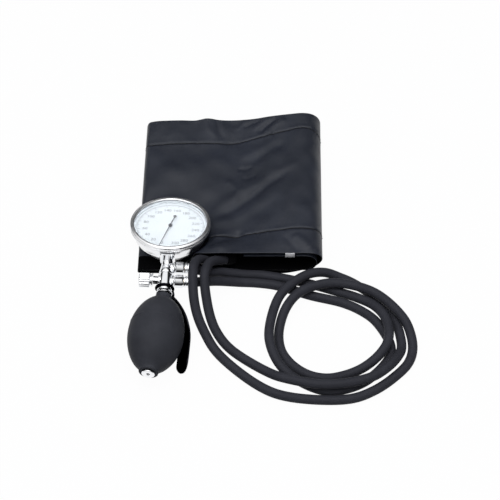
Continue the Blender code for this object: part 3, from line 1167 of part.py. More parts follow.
def cuff_top(x, y):
    """Free height of the rolled cuff's top over a place on the table."""
    across = (x - CUFF_LEFT) / (CUFF_RIGHT - CUFF_LEFT)
    along = (y - CUFF_NEAR) / (CUFF_FAR - CUFF_NEAR)
    rows = [smooth_read(across, CUFF_X_SHARES, row) for row in CUFF_TOP_SHARES]
    return CUFF_HEIGHT * float(np.interp(along, CUFF_ROW_SHARES, rows))


def smooth_read(value, places, heights):
    """Read a smooth curve through measured heights."""
    places, heights = np.array(places), np.array(heights)
    slopes = np.gradient(heights, places)
    index = int(np.clip(np.searchsorted(places, value) - 1, 0, len(places) - 2))
    span = places[index + 1] - places[index]
    s = min(max((value - places[index]) / span, 0.0), 1.0)
    cube, square = s ** 3, s ** 2
    return ((2 * cube - 3 * square + 1) * heights[index] + (cube - 2 * square + s) * span * slopes[index]
            + (3 * square - 2 * cube) * heights[index + 1] + (cube - square) * span * slopes[index + 1])


def gauge_underside(dial):
    """Points on the underside of the case and bezel, which the cuff stays under."""
    rings = [(BEZEL_RADIUS, -BEZEL_EDGE_ROUND), (BEZEL_RADIUS, -BEZEL_HEIGHT)] + case_outline(0.0)
    rings += [(CASE_BACK_RADIUS * step / 10, -CASE_DEPTH) for step in range(1, 10)]
    points = []
    for radius, height in rings:
        for index in range(2 * FINE_STEPS):
            angle = math.pi * index / FINE_STEPS
            points.append(dial.matrix_world @ Vector((radius * math.cos(angle),
                                                      radius * math.sin(angle), height)))
    return np.array(points)


def under_gauge(height, x, y, underside, reach):
    """Lower a height so that the cloth passes under the gauge."""
    near = np.hypot(underside[:, 0] - x, underside[:, 1] - y) < reach
    if not near.any():
        return height
    return min(height, float(underside[near, 2].min()) - CUFF_CASE_GAP)


def fold(low, high, bulge_x, from_x, count, downward):
    """Points round a fold, from one panel's end to the other's, as a half oval."""
    middle, half = (low + high) / 2, (high - low) / 2
    points = []
    for index in range(count):
        angle = math.pi * (index + 0.5) / count
        lift = math.cos(angle) if downward else -math.cos(angle)
        points.append((from_x + (bulge_x - from_x) * math.sin(angle) ** FOLD_POWER, middle + half * lift))
    return points


def cuff_section(y, underside):
    """Outer face of the rolled strip across the cuff: x and z pairs from its inner end to its outer end."""
    inner_top, inner_fold, inner_bottom, left_fold, top, right_fold, bottom = CUFF_COLUMNS
    reach = CUFF_REACH_SHARE * (CUFF_RIGHT - CUFF_LEFT) / top
    fold_width = CUFF_HEIGHT / 2
    left_width = WRAP_PITCH
    right = CUFF_RIGHT - fold_width
    inner_right = right - WRAP_PITCH / 2
    left = CUFF_LEFT + left_width
    points = []
    for index in range(inner_top):
        x = CUFF_LAP_X + (inner_right - CUFF_LAP_X) * index / inner_top
        points.append((x, cuff_top(x, y) - WRAP_PITCH))
    high = cuff_top(inner_right, y) - WRAP_PITCH
    points += fold(WRAP_PITCH, high, CUFF_RIGHT - WRAP_PITCH, inner_right, inner_fold, True)
    raised = inner_bottom // 2
    step_high, step_low = CUFF_LAP_X - WRAP_PITCH, CUFF_LAP_X - 2 * WRAP_PITCH
    for index in range(raised):
        points.append((inner_right + (step_high - inner_right) * (index + 1) / raised, WRAP_PITCH))
    flat = inner_bottom - raised
    for index in range(flat):
        points.append((step_low + (left - step_low) * index / flat, 0.0))
    high = under_gauge(cuff_top(left, y), left, y, underside, reach)
    points += fold(0.0, high, CUFF_LEFT, left, left_fold, False)
    for index in range(top):
        x = left + (right - left) * (index + 0.5) / top
        points.append((x, under_gauge(cuff_top(x, y), x, y, underside, reach)))
    points += fold(0.0, cuff_top(right, y), CUFF_RIGHT, right, right_fold, True)
    for index in range(bottom):
        x = right + (CUFF_LAP_X - right) * (index + 0.5) / bottom
        points.append((x, 0.0))
    points.append((CUFF_LAP_X, 0.0))
    return points


def cuff_grid(dial):
    """Outer face of the cuff as a grid of points, with the outward directions there."""
    underside = gauge_underside(dial)
    rows = []
    for share in CUFF_ROW_SHARES:
        y = CUFF_NEAR + (CUFF_FAR - CUFF_NEAR) * share
        rows.append([(x, y, z) for x, z in cuff_section(y, underside)])
    grid = np.array(rows)
    along_strip = np.gradient(grid, axis=1)
    along_axis = np.gradient(grid, axis=0)
    inward = np.cross(along_axis, along_strip)
    inward /= np.linalg.norm(inward, axis=2)[:, :, None]
    return grid, inward


def sheet_mesh(name, grid, inward, offsets, thickness, rows, columns):
    """A closed sheet between two offsets of the cuff's grid."""
    row_from, row_to = rows
    column_from, column_to = columns
    part = np.s_[row_from:row_to, column_from:column_to]
    outer = grid[part] + inward[part] * offsets[part][:, :, None]
    inner = outer + inward[part] * thickness
    count_y, count_x = outer.shape[:2]
    vertices = [tuple(p) for p in outer.reshape(-1, 3)] + [tuple(p) for p in inner.reshape(-1, 3)]
    shift = count_y * count_x
    faces = []
    for i in range(count_y - 1):
        for j in range(count_x - 1):
            a = i * count_x + j
            b, c, d = a + 1, a + count_x + 1, a + count_x
            faces.append((a, b, c, d))
            faces.append((shift + a, shift + d, shift + c, shift + b))
    rim = list(range(count_x)) + [i * count_x + count_x - 1 for i in range(1, count_y)]
    rim += [(count_y - 1) * count_x + j for j in range(count_x - 2, -1, -1)]
    rim += [i * count_x for i in range(count_y - 2, 0, -1)]
    for here, ahead in zip(rim, rim[1:] + rim[:1]):
        faces.append((ahead, here, shift + here, shift + ahead))
    mesh = bpy.data.meshes.new(name)
    mesh.from_pydata(vertices, [], faces)
    bm = bmesh.new()
    bm.from_mesh(mesh)
    bmesh.ops.recalc_face_normals(bm, faces=bm.faces)
    bm.to_mesh(mesh)
    bm.free()
    mesh.shade_smooth()
    mesh.set_sharp_from_angle(angle=math.radians(60))
    return mesh


def columns_between(grid, first, last, low, high):
    """The run of grid columns of one panel whose places lie between two values of x."""
    middle = grid.shape[0] // 2
    inside = [j for j in range(first, last) if low <= grid[middle, j, 0] <= high]
    return inside[0], inside[-1] + 1


def rows_between(along, margin):
    """The run of grid rows that keeps a margin from both edges of the strip."""
    inside = [i for i, y in enumerate(along) if CUFF_NEAR + margin <= y <= CUFF_FAR - margin]
    return inside[0], inside[-1] + 1


def add_cuff(dial):
    """Outer cloth, inner cloth, bladder and the two hook and loop patches of the rolled cuff."""
    grid, inward = cuff_grid(dial)
    starts = np.concatenate(([0], np.cumsum(CUFF_COLUMNS)))
    row_count, column_count = grid.shape[:2]
    everything = ((0, row_count), (0, column_count))
    none = np.zeros((row_count, column_count))
    outer = sheet_mesh("cuff_outer_cloth", grid, inward, none, CLOTH_THICKNESS, *everything)
    add_object("cuff_outer_cloth", outer, NYLON, None)
    along = grid[:, 0, 1]
    rows = rows_between(along, BLADDER_MARGIN)
    first, _ = columns_between(grid, starts[4], starts[5], BLADDER_LEFT, CUFF_RIGHT)
    last = starts[6]
    lifted = none + CLOTH_THICKNESS + LAYER_GAP
    bladder = sheet_mesh("bladder", grid, inward, lifted, BLADDER_THICKNESS, rows, (first, last))
    add_object("bladder", bladder, RUBBER, None)
    inner_offset = lifted.copy()
    inner_offset[rows[0]:rows[1], first:last] += BLADDER_THICKNESS + LAYER_GAP
    inner = sheet_mesh("cuff_inner_cloth", grid, inward, inner_offset, CLOTH_THICKNESS, *everything)
    add_object("cuff_inner_cloth", inner, NYLON, None)
    patch_rows = rows_between(along, PATCH_MARGIN)
    hook = columns_between(grid, starts[6], starts[7], PATCH_LEFT, PATCH_RIGHT)
    above = none + 2 * CLOTH_THICKNESS + 2 * LAYER_GAP
    add_object("hook_patch",
               sheet_mesh("hook_patch", grid, inward, above, PATCH_THICKNESS, patch_rows, hook), NYLON,
               None)
    loop = columns_between(grid, starts[2], starts[3], PATCH_LEFT, PATCH_RIGHT)
    below = none - LAYER_GAP - PATCH_THICKNESS
    add_object("loop_patch",
               sheet_mesh("loop_patch", grid, inward, below, PATCH_THICKNESS, patch_rows, loop), NYLON,
               None)
    return grid


def cloth_underside(grid, x, y, reach):
    """Lowest height of the top panel's underside around a place."""
    starts = np.concatenate(([0], np.cumsum(CUFF_COLUMNS)))
    panel = grid[:, starts[4]:starts[5]]
    lowest = math.inf
    for dx in (-reach, 0.0, reach):
        for dy in (-reach, 0.0, reach):
            heights = [np.interp(x + dx, row[:, 0], row[:, 2]) for row in panel]
            lowest = min(lowest, float(np.interp(y + dy, panel[:, 0, 1], heights)))
    return lowest - 3 * (CLOTH_THICKNESS + LAYER_GAP)


def add_ports(ports, grid):
    """The two rubber elbows under the cuff's top, where the hoses reach the bladder."""
    for letter, (port_at, heading) in zip("ab", ports):
        name = f"bladder_port_{letter}"
        empty = add_empty(f"{name}_axis", None, port_at, heading.to_track_quat("Z", "Y").to_euler())
        profile = [(0, PORT_LENGTH), (PORT_RADIUS, PORT_LENGTH), (PORT_RADIUS, 0), (PORT_BORE_RADIUS, 0),
                   (PORT_BORE_RADIUS, PORT_LENGTH / 2), (0, PORT_LENGTH / 2)]
        port = turned(name, profile, RUBBER, empty, SMALL_STEPS)
        foot = port_at + heading * (PORT_LENGTH - PORT_RADIUS / 2)
        riser_radius = PORT_BORE_RADIUS + PORT_FLANGE_THICKNESS
        top = cloth_underside(grid, foot.x, foot.y + PORT_RADIUS, riser_radius)
        riser = rod_profile(riser_radius, foot.z, top)
        combine(port,
                turned_guide(f"{name}_riser", riser, None, PIN_STEPS,
                             location=(foot.x, foot.y + PORT_RADIUS, 0)), "UNION")


def add_tag(grid):
    """The small blank tag sewn at the cuff's near edge."""
    top = cuff_top(TAG_X, CUFF_NEAR)
    near = CUFF_NEAR - FIT_GAP - TAG_THICKNESS
    low = (TAG_X - TAG_WIDTH / 2, near, top - TAG_DROP)
    high = (TAG_X + TAG_WIDTH / 2, near + TAG_THICKNESS, top)
    add_object("size_tag", box_mesh("size_tag", low, high), TAG_WHITE, None)


def angles(*degrees):
    """Degrees to radians."""
    return tuple(math.radians(value) for value in degrees)


def unit_height():
    """Height of the neck's axis that lets the bulb lie on the table."""
    tilt = math.radians(UNIT_TILT_DEGREES)
    bulb_tilt = math.radians(UNIT_TILT_DEGREES + BULB_TILT_DEGREES)
    drop = -NIPPLE_FROM * math.sin(tilt) + BULB_FRONT_LENGTH * math.sin(bulb_tilt)
    return BULB_RADIUS * math.cos(bulb_tilt) + drop


def main():
    """Build the whole meter."""
    clear_scene()
    unit = add_empty("palm_unit", None, (UNIT_X, UNIT_Y, unit_height()),
                     angles(UNIT_TILT_DEGREES, 0, UNIT_YAW_DEGREES))
    dial = add_empty("dial_axis", unit, (0, DIAL_AXIS_Y, DIAL_AXIS_Z), angles(DIAL_TILT_DEGREES, 0, 0))
    bulb = add_empty("bulb_axis", unit, (0, NIPPLE_FROM, 0),
                     angles(BULB_TILT_DEGREES, 0, BULB_YAW_DEGREES))
    bpy.context.view_layer.update()
    add_gauge(dial)
    add_neck(unit, dial)
    add_connectors(unit)
    add_release_valve(unit)
    add_collar(unit)
    add_spoon(unit)
    add_bulb(bulb)
    grid = add_cuff(dial)
    add_tag(grid)
    add_ports(add_hoses(unit), grid)


main()
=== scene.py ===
"""Looks of the aneroid blood pressure meter: camera, light, hoses, gauge, neck, bulb and folded cuff.

Turned and cut shapes, the hoses' routes, the seams and the creases are written in millimetres. The grid of
the cuff, the camera and the light are in metres, as the frame is.
"""
import math
from collections import namedtuple

import bmesh
import bpy
import numpy as np
from mathutils import Euler, Matrix, Vector


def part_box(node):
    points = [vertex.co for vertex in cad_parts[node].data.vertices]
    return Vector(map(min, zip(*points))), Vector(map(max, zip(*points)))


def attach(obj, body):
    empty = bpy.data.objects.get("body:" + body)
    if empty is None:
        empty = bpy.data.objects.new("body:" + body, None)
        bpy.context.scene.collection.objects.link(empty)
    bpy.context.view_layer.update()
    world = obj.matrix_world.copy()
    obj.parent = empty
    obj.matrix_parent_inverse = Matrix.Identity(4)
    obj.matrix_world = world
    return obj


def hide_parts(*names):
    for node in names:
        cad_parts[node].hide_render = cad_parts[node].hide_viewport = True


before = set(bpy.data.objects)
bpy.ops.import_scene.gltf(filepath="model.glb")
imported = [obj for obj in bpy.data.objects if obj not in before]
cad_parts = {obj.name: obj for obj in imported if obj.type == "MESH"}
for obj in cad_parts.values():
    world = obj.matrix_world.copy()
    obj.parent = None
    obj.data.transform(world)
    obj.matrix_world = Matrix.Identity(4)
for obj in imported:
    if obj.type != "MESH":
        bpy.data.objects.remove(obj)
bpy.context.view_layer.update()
ROOT = "cuff_and_gauge"
SCENE = bpy.context.scene
MM = 0.001


# Places shared with the CAD source

def turn(x, y, z):
    """A rotation by angles in degrees."""
    return Euler((math.radians(x), math.radians(y), math.radians(z))).to_matrix().to_4x4()


def move(x, y, z):
    """A shift in millimetres."""
    return Matrix.Translation((x * MM, y * MM, z * MM))


UNIT = move(-52.7, -105.2, 24.69) @ turn(2.5, 0, -3)
DIAL = UNIT @ move(0, 55.5, 6.6) @ turn(-14, 0, 0)
BULB = UNIT @ move(0, -15, 0) @ turn(-1, 0, -5)
ALONG_X = turn(0, 90, 0)
ALONG_MINUS_X = turn(0, -90, 0)
ALONG_Y = turn(-90, 0, 0)
ALONG_MINUS_Y = turn(90, 0, 0)


# Node trees

class Nodes:
    """A node tree with short calls for the nodes in it."""

    def __init__(self, tree):
        self.tree = tree

    def feed(self, socket, value):
        """Link another node's socket to an input, or set the input to a plain value."""
        if isinstance(value, bpy.types.NodeSocket):
            self.tree.links.new(value, socket)
        else:
            socket.default_value = value

    def new(self, kind, *values, **settings):
        """A node with values for its first inputs in order, and settings for itself or for named inputs."""
        node = self.tree.nodes.new(kind)
        for socket, value in zip(node.inputs, values):
            self.feed(socket, value)
        for key, value in settings.items():
            if hasattr(node, key):
                setattr(node, key, value)
            else:
                self.feed(node.inputs[key.replace("_", " ")], value)
        return node

    def coords(self, kind="Object"):
        return self.new("ShaderNodeTexCoord").outputs[kind]

    def noise(self, place, scale, detail=3.0, rough=0.5):
        node = self.new("ShaderNodeTexNoise", place, Scale=scale, Detail=detail, Roughness=rough)
        return node.outputs["Fac"]

    def wave(self, place, scale, direction):
        return self.new("ShaderNodeTexWave", place, Scale=scale, bands_direction=direction).outputs["Fac"]

    def ramp(self, source, stops):
        """Colours at places along a value."""
        node = self.new("ShaderNodeValToRGB", source)
        elements = node.color_ramp.elements
        while len(elements) < len(stops):
            elements.new(0.5)
        for element, (place, colour) in zip(elements, stops):
            element.position = place
            element.color = (*colour, 1.0)
        return node.outputs["Color"]

    def span(self, source, low, high, from_low=0.0):
        """A value mapped from from_low..1 to low..high."""
        node = self.new("ShaderNodeMapRange", source, From_Min=from_low, To_Min=low, To_Max=high)
        return node.outputs["Result"]

    def math(self, kind, *values):
        return self.new("ShaderNodeMath", *values, operation=kind).outputs[0]

    def mix(self, share, first, second, blend="MIX"):
        """Two colours mixed by a share."""
        return self.new("ShaderNodeMixRGB", share, first, second, blend_type=blend).outputs["Color"]

    def blend(self, share, first, second):
        """Two shaders mixed by a share."""
        return self.new("ShaderNodeMixShader", share, first, second).outputs[0]

    def bump(self, height, strength, distance, under=None):
        node = self.new("ShaderNodeBump", Height=height, Strength=strength, Distance=distance)
        if under is not None:
            self.feed(node.inputs["Normal"], under)
        return node.outputs["Normal"]


class Finish(Nodes):
    """A material's node tree with a Principled shader."""

    def __init__(self, name, **values):
        self.material = bpy.data.materials.new(name)
        self.material.use_nodes = True
        super().__init__(self.material.node_tree)
        self.shader = self.tree.nodes["Principled BSDF"]
        self.surface = self.tree.nodes["Material Output"].inputs["Surface"]
        self.set(**values)

    def set(self, **values):
        """Values or links for the shader's inputs."""
        for key, value in values.items():
            self.feed(self.shader.inputs[key.replace("_", " ")], value)

    def speckle(self, colour, tones, clouds, rough, haze, relief, strength):
        """The material, with cloudy tones of a colour, a roughness that varies softly and a fine relief."""
        place = self.coords()
        low, high = [shade(colour, tone) for tone in tones]
        self.set(Base_Color=self.ramp(self.noise(place, *clouds), [(0.3, low), (0.7, high)]),
                 Roughness=self.span(self.noise(place, *haze), *rough),
                 Normal=self.bump(self.noise(place, *relief), strength, 0.0001))
        return self.material


# Materials

def shade(colour, factor):
    return tuple(min(c * factor, 1.0) for c in colour)


def chrome(name, colour=(0.92, 0.93, 0.95), rough=(0.03, 0.10), scratch=900.0, edge=1.0):
    """Plated metal with faint polishing haze and slow tones. edge is its shine at a glancing look."""
    n = Finish(name, Metallic=1.0, Specular_Tint=(edge, edge, edge, 1.0))
    return n.speckle(colour, (0.94, 1), (160.0, 4.0), rough, (420.0, 2.0), (scratch, 2.0), 0.04)


def rubber(name, colour, rough=(0.46, 0.60), grain=2600.0, strength=0.16):
    """Moulded rubber with a fine grain and soft blotches."""
    n = Finish(name, Specular_IOR_Level=0.20, IOR=1.28)
    return n.speckle(colour, (0.86, 1.14), (60.0, 4.0, 0.6), rough, (240.0, 3.0), (grain, 3.0), strength)


def coated_nylon(name, colour, weave=1500.0, rough=(0.32, 0.46), blotch=1.25, shine=0.36):
    """Tightly woven nylon with a soft coated shine. Its map runs along and across the strip, in metres."""
    n = Finish(name, Specular_IOR_Level=shine, IOR=1.45)
    flat = n.coords("UV")
    place = n.coords()
    threads = n.math("MAXIMUM", n.wave(flat, weave, "X"), n.wave(flat, weave, "Y"))
    cloud = n.noise(place, 22.0, 5.0, 0.55)
    tone = n.ramp(cloud, [(0.30, shade(colour, 0.84)), (0.52, colour), (0.72, shade(colour, blotch))])
    gaps = n.ramp(threads, [(0.2, (0.72, 0.72, 0.74)), (0.9, (1, 1, 1))])
    soft = n.bump(n.noise(place, 130.0, 4.0, 0.6), 0.25, 0.0008)
    n.set(Base_Color=n.mix(0.35, tone, gaps, "MULTIPLY"),
          Roughness=n.span(n.noise(place, 90.0, 3.0), *rough),
          Normal=n.bump(threads, 0.35, 0.00012, soft))
    return n.material


def loop_pile(name, colour, scale=2400.0):
    """The short pile of a hook or loop patch."""
    n = Finish(name, Sheen_Weight=0.35)
    place = n.coords()
    depth = n.new("ShaderNodeTexVoronoi", place, Scale=scale).outputs["Distance"]
    n.set(Base_Color=n.ramp(depth, [(0.0, shade(colour, 1.5)), (0.7, shade(colour, 0.5))]),
          Roughness=n.span(n.noise(place, 300.0), 0.8, 0.95),
          Normal=n.bump(depth, 0.6, 0.0005))
    return n.material


def painted(name, colour, rough=(0.35, 0.5)):
    """Paint or print with a slight orange peel."""
    return Finish(name).speckle(colour, (0.97, 1), (80.0, 3.0), rough, (200.0, 3.0), (500.0, 2.0), 0.05)


def brass(name, colour=(0.72, 0.52, 0.26)):
    """Brushed brass of the inner movement."""
    n = Finish(name, Metallic=1.0)
    stretched = n.new("ShaderNodeMapping", n.coords(), Scale=(40.0, 900.0, 900.0)).outputs["Vector"]
    brush = n.noise(stretched, 2.0, 3.0)
    n.set(Base_Color=n.ramp(brush, [(0.3, shade(colour, 0.82)), (0.7, colour)]),
          Roughness=n.span(brush, 0.22, 0.38),
          Normal=n.bump(brush, 0.08, 0.0001))
    return n.material


def clear_glass(name):
    """Thin flat glass that lets the light reach what lies under it."""
    n = Finish(name, IOR=1.46, Transmission_Weight=1.0, Base_Color=(0.97, 0.985, 0.99, 1.0))
    n.set(Roughness=n.span(n.noise(n.coords(), 45.0, 3.0), 0.008, 0.03))
    in_shadow = n.new("ShaderNodeLightPath").outputs["Is Shadow Ray"]
    thin = n.new("ShaderNodeBsdfTransparent")
    n.feed(n.surface, n.blend(in_shadow, n.shader.outputs[0], thin.outputs[0]))
    return n.material


M_CHROME = chrome("chrome")
M_SPOON = chrome("spoon_dark_plating", (0.008, 0.008, 0.010), (0.06, 0.14), edge=0.2)
M_SATIN = chrome("chrome_satin", (0.95, 0.955, 0.97), (0.24, 0.34))
M_CHROME_FINE = chrome("chrome_turned", rough=(0.05, 0.14), scratch=1400.0)
M_STEEL = chrome("steel", (0.56, 0.56, 0.58), (0.20, 0.32))
M_BRASS = brass("brass")
M_HOSE = rubber("hose_rubber", (0.040, 0.041, 0.050))
M_BULB = rubber("bulb_rubber", (0.046, 0.048, 0.057), (0.50, 0.62), 2200.0, 0.2)
M_INNER_RUBBER = rubber("bladder_rubber", (0.03, 0.03, 0.03))
M_PORT = rubber("port_rubber", (0.006, 0.006, 0.007), (0.7, 0.8))
M_CLOTH = coated_nylon("cuff_nylon", (0.0210, 0.0250, 0.0370))
# Near-black cloth: painted shade inside the cuff's opening and painted shadow of the gauge on the near left
# corner of the top.
M_INSIDE_PAINTED_SHADE = coated_nylon("cuff_nylon_inside_painted_shade", (0.0025, 0.0025, 0.003), rough=(0.75, 0.9), blotch=1.05,
                        shine=0.04)
M_THREAD = coated_nylon("seam_thread", (0.0035, 0.0035, 0.0045), 2600.0, (0.6, 0.75), 1.2)
M_TAG = coated_nylon("tag_white", (0.93, 0.93, 0.94), 1800.0, (0.8, 0.9), 1.05)
M_HOOK = loop_pile("hook_pile", (0.016, 0.016, 0.02))
M_LOOP = loop_pile("loop_pile", (0.020, 0.020, 0.024), 1800.0)
M_DIAL = painted("dial_white", (0.82, 0.86, 0.90))
M_PRINT = painted("dial_print", (0.30, 0.31, 0.34), (0.5, 0.6))
M_NEEDLE = painted("needle_black", (0.06, 0.06, 0.075), (0.3, 0.4))
M_GLASS = clear_glass("dial_glass")


# Mesh helpers

def placed(name, data):
    """A new object in the scene."""
    obj = bpy.data.objects.new(name, data)
    SCENE.collection.objects.link(obj)
    return obj


def clean(mesh, sharp, merge=False):
    """Turn all faces outwards and shade them smoothly, with edges over an angle kept sharp."""
    bm = bmesh.new()
    bm.from_mesh(mesh)
    if merge:
        bmesh.ops.remove_doubles(bm, verts=bm.verts, dist=1e-7)
    bmesh.ops.recalc_face_normals(bm, faces=bm.faces)
    bm.to_mesh(mesh)
    bm.free()
    mesh.shade_smooth()
    mesh.set_sharp_from_angle(angle=math.radians(sharp))


def finish_mesh(name, mesh, material, matrix=None, sharp=35.0):
    """An object with a clean mesh, moved by a matrix."""
    clean(mesh, sharp, merge=True)
    if matrix is not None:
        mesh.transform(matrix)
    mesh.materials.append(material)
    return placed(name, mesh)


def mesh_object(name, vertices, faces, material, matrix=None, sharp=35.0):
    mesh = bpy.data.meshes.new(name)
    mesh.from_pydata([tuple(v) for v in vertices], [], faces)
    return finish_mesh(name, mesh, material, matrix, sharp)


def baked(obj):
    """The mesh of an object with its modifiers applied. The object is removed."""
    bpy.context.view_layer.update()
    mesh = bpy.data.meshes.new_from_object(obj.evaluated_get(bpy.context.evaluated_depsgraph_get()))
    bpy.data.objects.remove(obj)
    mesh.materials.clear()
    return mesh


def polar(r, angle):
    """The two places of a point at a radius and an angle."""
    return r * math.cos(angle), r * math.sin(angle)


def loft(rings, sides, base=0):
    """Faces between rings of vertices, with a cap on each end."""
    faces = []
    for i in range(rings - 1):
        for k in range(sides):
            a, b = base + i * sides + k, base + i * sides + (k + 1) % sides
            faces.append((a, b, b + sides, a + sides))
    last = base + (rings - 1) * sides
    return faces + [tuple(range(base, base + sides)), tuple(range(last, last + sides))]


def closed_sheet(rows, columns):
    """Faces of two grids of vertices, front and back in turn, and then of the rim between them."""
    total = rows * columns
    faces = []
    for i in range(rows - 1):
        for j in range(columns - 1):
            a = i * columns + j
            b, c, d = a + 1, a + columns + 1, a + columns
            faces.append((a, b, c, d))
            faces.append((total + a, total + d, total + c, total + b))
    rim = list(range(columns))
    rim += [i * columns + columns - 1 for i in range(1, rows)]
    rim += [(rows - 1) * columns + j for j in range(columns - 2, -1, -1)]
    rim += [i * columns for i in range(rows - 2, 0, -1)]
    for here, ahead in zip(rim, rim[1:] + rim[:1]):
        faces.append((ahead, here, total + here, total + ahead))
    return faces


def rounded(corners, steps):
    """Points of a profile of (radius, height, fillet) corners. A corner without a fillet stays sharp."""
    points = []
    for i, (r, z, *fillet) in enumerate(corners):
        if not fillet or i in (0, len(corners) - 1):
            points.append((r, z))
            continue
        here = Vector((r, z))
        back = Vector(corners[i - 1][:2]) - here
        ahead = Vector(corners[i + 1][:2]) - here
        trim = min(fillet[0], back.length * 0.49, ahead.length * 0.49)
        a, b = here + back.normalized() * trim, here + ahead.normalized() * trim
        for step in range(steps + 1):
            t = step / steps
            points.append(tuple(a.lerp(here, t).lerp(here.lerp(b, t), t)))
    return points


def lathe(name, corners, material, matrix, steps=96, arc=4, closed=False, wobble=None, sharp=35.0):
    """A profile of corners turned about local Z. wobble(angle, r, z) changes a point's radius."""
    vertices, faces = [], []
    profile = rounded(corners, arc)
    count = len(profile)
    for i in range(steps):
        angle = 2 * math.pi * i / steps
        for r, z in profile:
            reach = (r if wobble is None else wobble(angle, r, z)) * MM
            vertices.append((*polar(reach, angle), z * MM))
    spans = count if closed else count - 1
    for i in range(steps):
        ahead = (i + 1) % steps
        for j in range(spans):
            k = (j + 1) % count
            faces.append((i * count + j, i * count + k, ahead * count + k, ahead * count + j))
    return mesh_object(name, vertices, faces, material, matrix, sharp)


def prism(name, outline, low, high, chamfer, material, matrix):
    """A flat outline pulled along local Z with small bevels on its two ends."""
    flat = np.array(outline) * MM
    middle = flat.mean(axis=0)
    shrink = 1 - chamfer * MM / np.max(np.linalg.norm(flat - middle, axis=1))
    vertices = []
    for z, scale in ((low, shrink), (low + chamfer, 1.0), (high - chamfer, 1.0), (high, shrink)):
        vertices += [(x, y, z * MM) for x, y in middle + (flat - middle) * scale]
    return mesh_object(name, vertices, loft(4, len(outline)), material, matrix, 20.0)


def join(name, objects):
    """Several mesh objects as one."""
    for obj in objects:
        obj.select_set(True)
    with bpy.context.temp_override(active_object=objects[0], selected_editable_objects=objects):
        bpy.ops.object.join()
    objects[0].name = name
    return objects[0]


def piece(obj, body, *nodes, slot):
    """Let a piece ride on a body, in place of CAD nodes. slot, a material slot's name, is not used."""
    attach(obj, body)
    if nodes:
        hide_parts(*nodes)


def dress(material, *nodes):
    """CAD nodes that stay, with a better finish."""
    for node in nodes:
        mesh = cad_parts[node].data
        mesh.materials.clear()
        mesh.materials.append(material)


# Shared curves

def clamp(value):
    """A value kept between 0 and 1."""
    return min(max(value, 0.0), 1.0)


def ease(s):
    """A share from 0 to 1 with a soft start and end."""
    return s * s * (3 - 2 * s)


def hermite(s, here, leave, ahead, arrive):
    """A smooth way from one value to the next, with the slopes at both."""
    cube, square = s ** 3, s ** 2
    return ((2 * cube - 3 * square + 1) * here + (cube - 2 * square + s) * leave
            + (3 * square - 2 * cube) * ahead + (cube - square) * arrive)


def run_along(points):
    """The distance along a line at each of its points."""
    return np.concatenate(([0.0], np.cumsum(np.linalg.norm(np.diff(points, axis=0), axis=1))))


def read_along(stops, run, points):
    """Places on a line of points at distances along it."""
    return np.stack([np.interp(stops, run, points[:, k]) for k in range(3)], axis=-1)


# Camera, floor and light

def add_camera():
    data = bpy.data.cameras.new("camera")
    data.lens = 129.6
    data.sensor_width = 36.0
    data.clip_end = 20
    SCENE.camera = placed("camera", data)
    SCENE.camera.location = (0.0175, -0.9945, 1.2257)
    SCENE.camera.rotation_euler = (math.radians(37.5), 0, 0)


def add_lamp(name, place, aim, size, power):
    data = bpy.data.lights.new(name, "AREA")
    data.shape = "RECTANGLE"
    data.size, data.size_y = size
    data.energy = power
    lamp = placed(name, data)
    lamp.location = place
    lamp.rotation_euler = (Vector(aim) - Vector(place)).to_track_quat("-Z", "Y").to_euler()


MIRRORED = ((0, 0.03), (0.60, 0.02), (0.79, 0.02), (0.84, 0.85), (0.90, 1), (1, 1))
DIFFUSE = ((0.5, 0.02), (0.75, 0.22), (1, 0.64))


def add_world():
    """A studio that is white to the camera and through glass.

    Mirrors see a dark wall low down and a bright ceiling, darker to the right. Other light grows towards the
    top.
    """
    SCENE.world = bpy.data.worlds.new("studio")
    SCENE.world.use_nodes = True
    n = Nodes(SCENE.world.node_tree)
    path = n.new("ShaderNodeLightPath").outputs
    way = n.new("ShaderNodeSeparateXYZ", n.coords("Generated")).outputs
    height = n.span(way["Z"], 0.0, 1.0, from_low=-1.0)
    lean = n.math("MULTIPLY_ADD", way["X"], -0.10, height)
    mirrored = n.ramp(lean, [(place, (v, v, v * 1.02 if v < 0.5 else v)) for place, v in MIRRORED])
    diffuse = n.ramp(height, [(place, (v * 0.98, v, v * 1.06)) for place, v in DIFFUSE])
    light = n.mix(path["Is Glossy Ray"], diffuse, mirrored)
    seen = n.math("MAXIMUM", path["Is Camera Ray"], path["Is Transmission Ray"])
    n.feed(n.tree.nodes["Background"].inputs["Color"], n.mix(seen, light, (1, 1, 1, 1)))


def add_floor():
    """A white sheet that keeps a faint shadow and is white to the camera."""
    n = Finish("floor_white", Base_Color=(0.25, 0.25, 0.26, 1), Roughness=0.9)
    n.set(Normal=n.bump(n.noise(n.coords(), 900.0, 2.0), 0.03, 0.0001))
    path = n.new("ShaderNodeLightPath").outputs
    seen = n.math("MAXIMUM", path["Is Camera Ray"], path["Is Glossy Ray"])
    seen = n.math("MAXIMUM", seen, path["Is Transmission Ray"])
    glow = n.new("ShaderNodeEmission", Color=(1, 1, 1, 1), Strength=1.08)
    n.feed(n.surface, n.blend(n.math("MULTIPLY", seen, 0.90), n.shader.outputs[0], glow.outputs[0]))
    reach, level = 4.0, -0.0002
    corners = [(x * reach, y * reach, level) for x, y in ((-1, -1), (1, -1), (1, 1), (-1, 1))]
    mesh_object("floor", corners, [(0, 1, 2, 3)], n.material)


SCENE.view_settings.view_transform = "Standard"
add_camera()
add_world()
add_floor()
add_lamp("key_left", (-0.6, -0.3, 1.4), (0, -0.05, 0), (0.9, 0.9), 3.6)
add_lamp("top_soft", (0.02, -0.20, 1.6), (0, -0.1, 0), (0.9, 0.9), 7.8)
add_lamp("front_fill", (0.5, -1.4, 0.9), (0, -0.1, 0), (1.0, 0.6), 1.6)


# Hoses

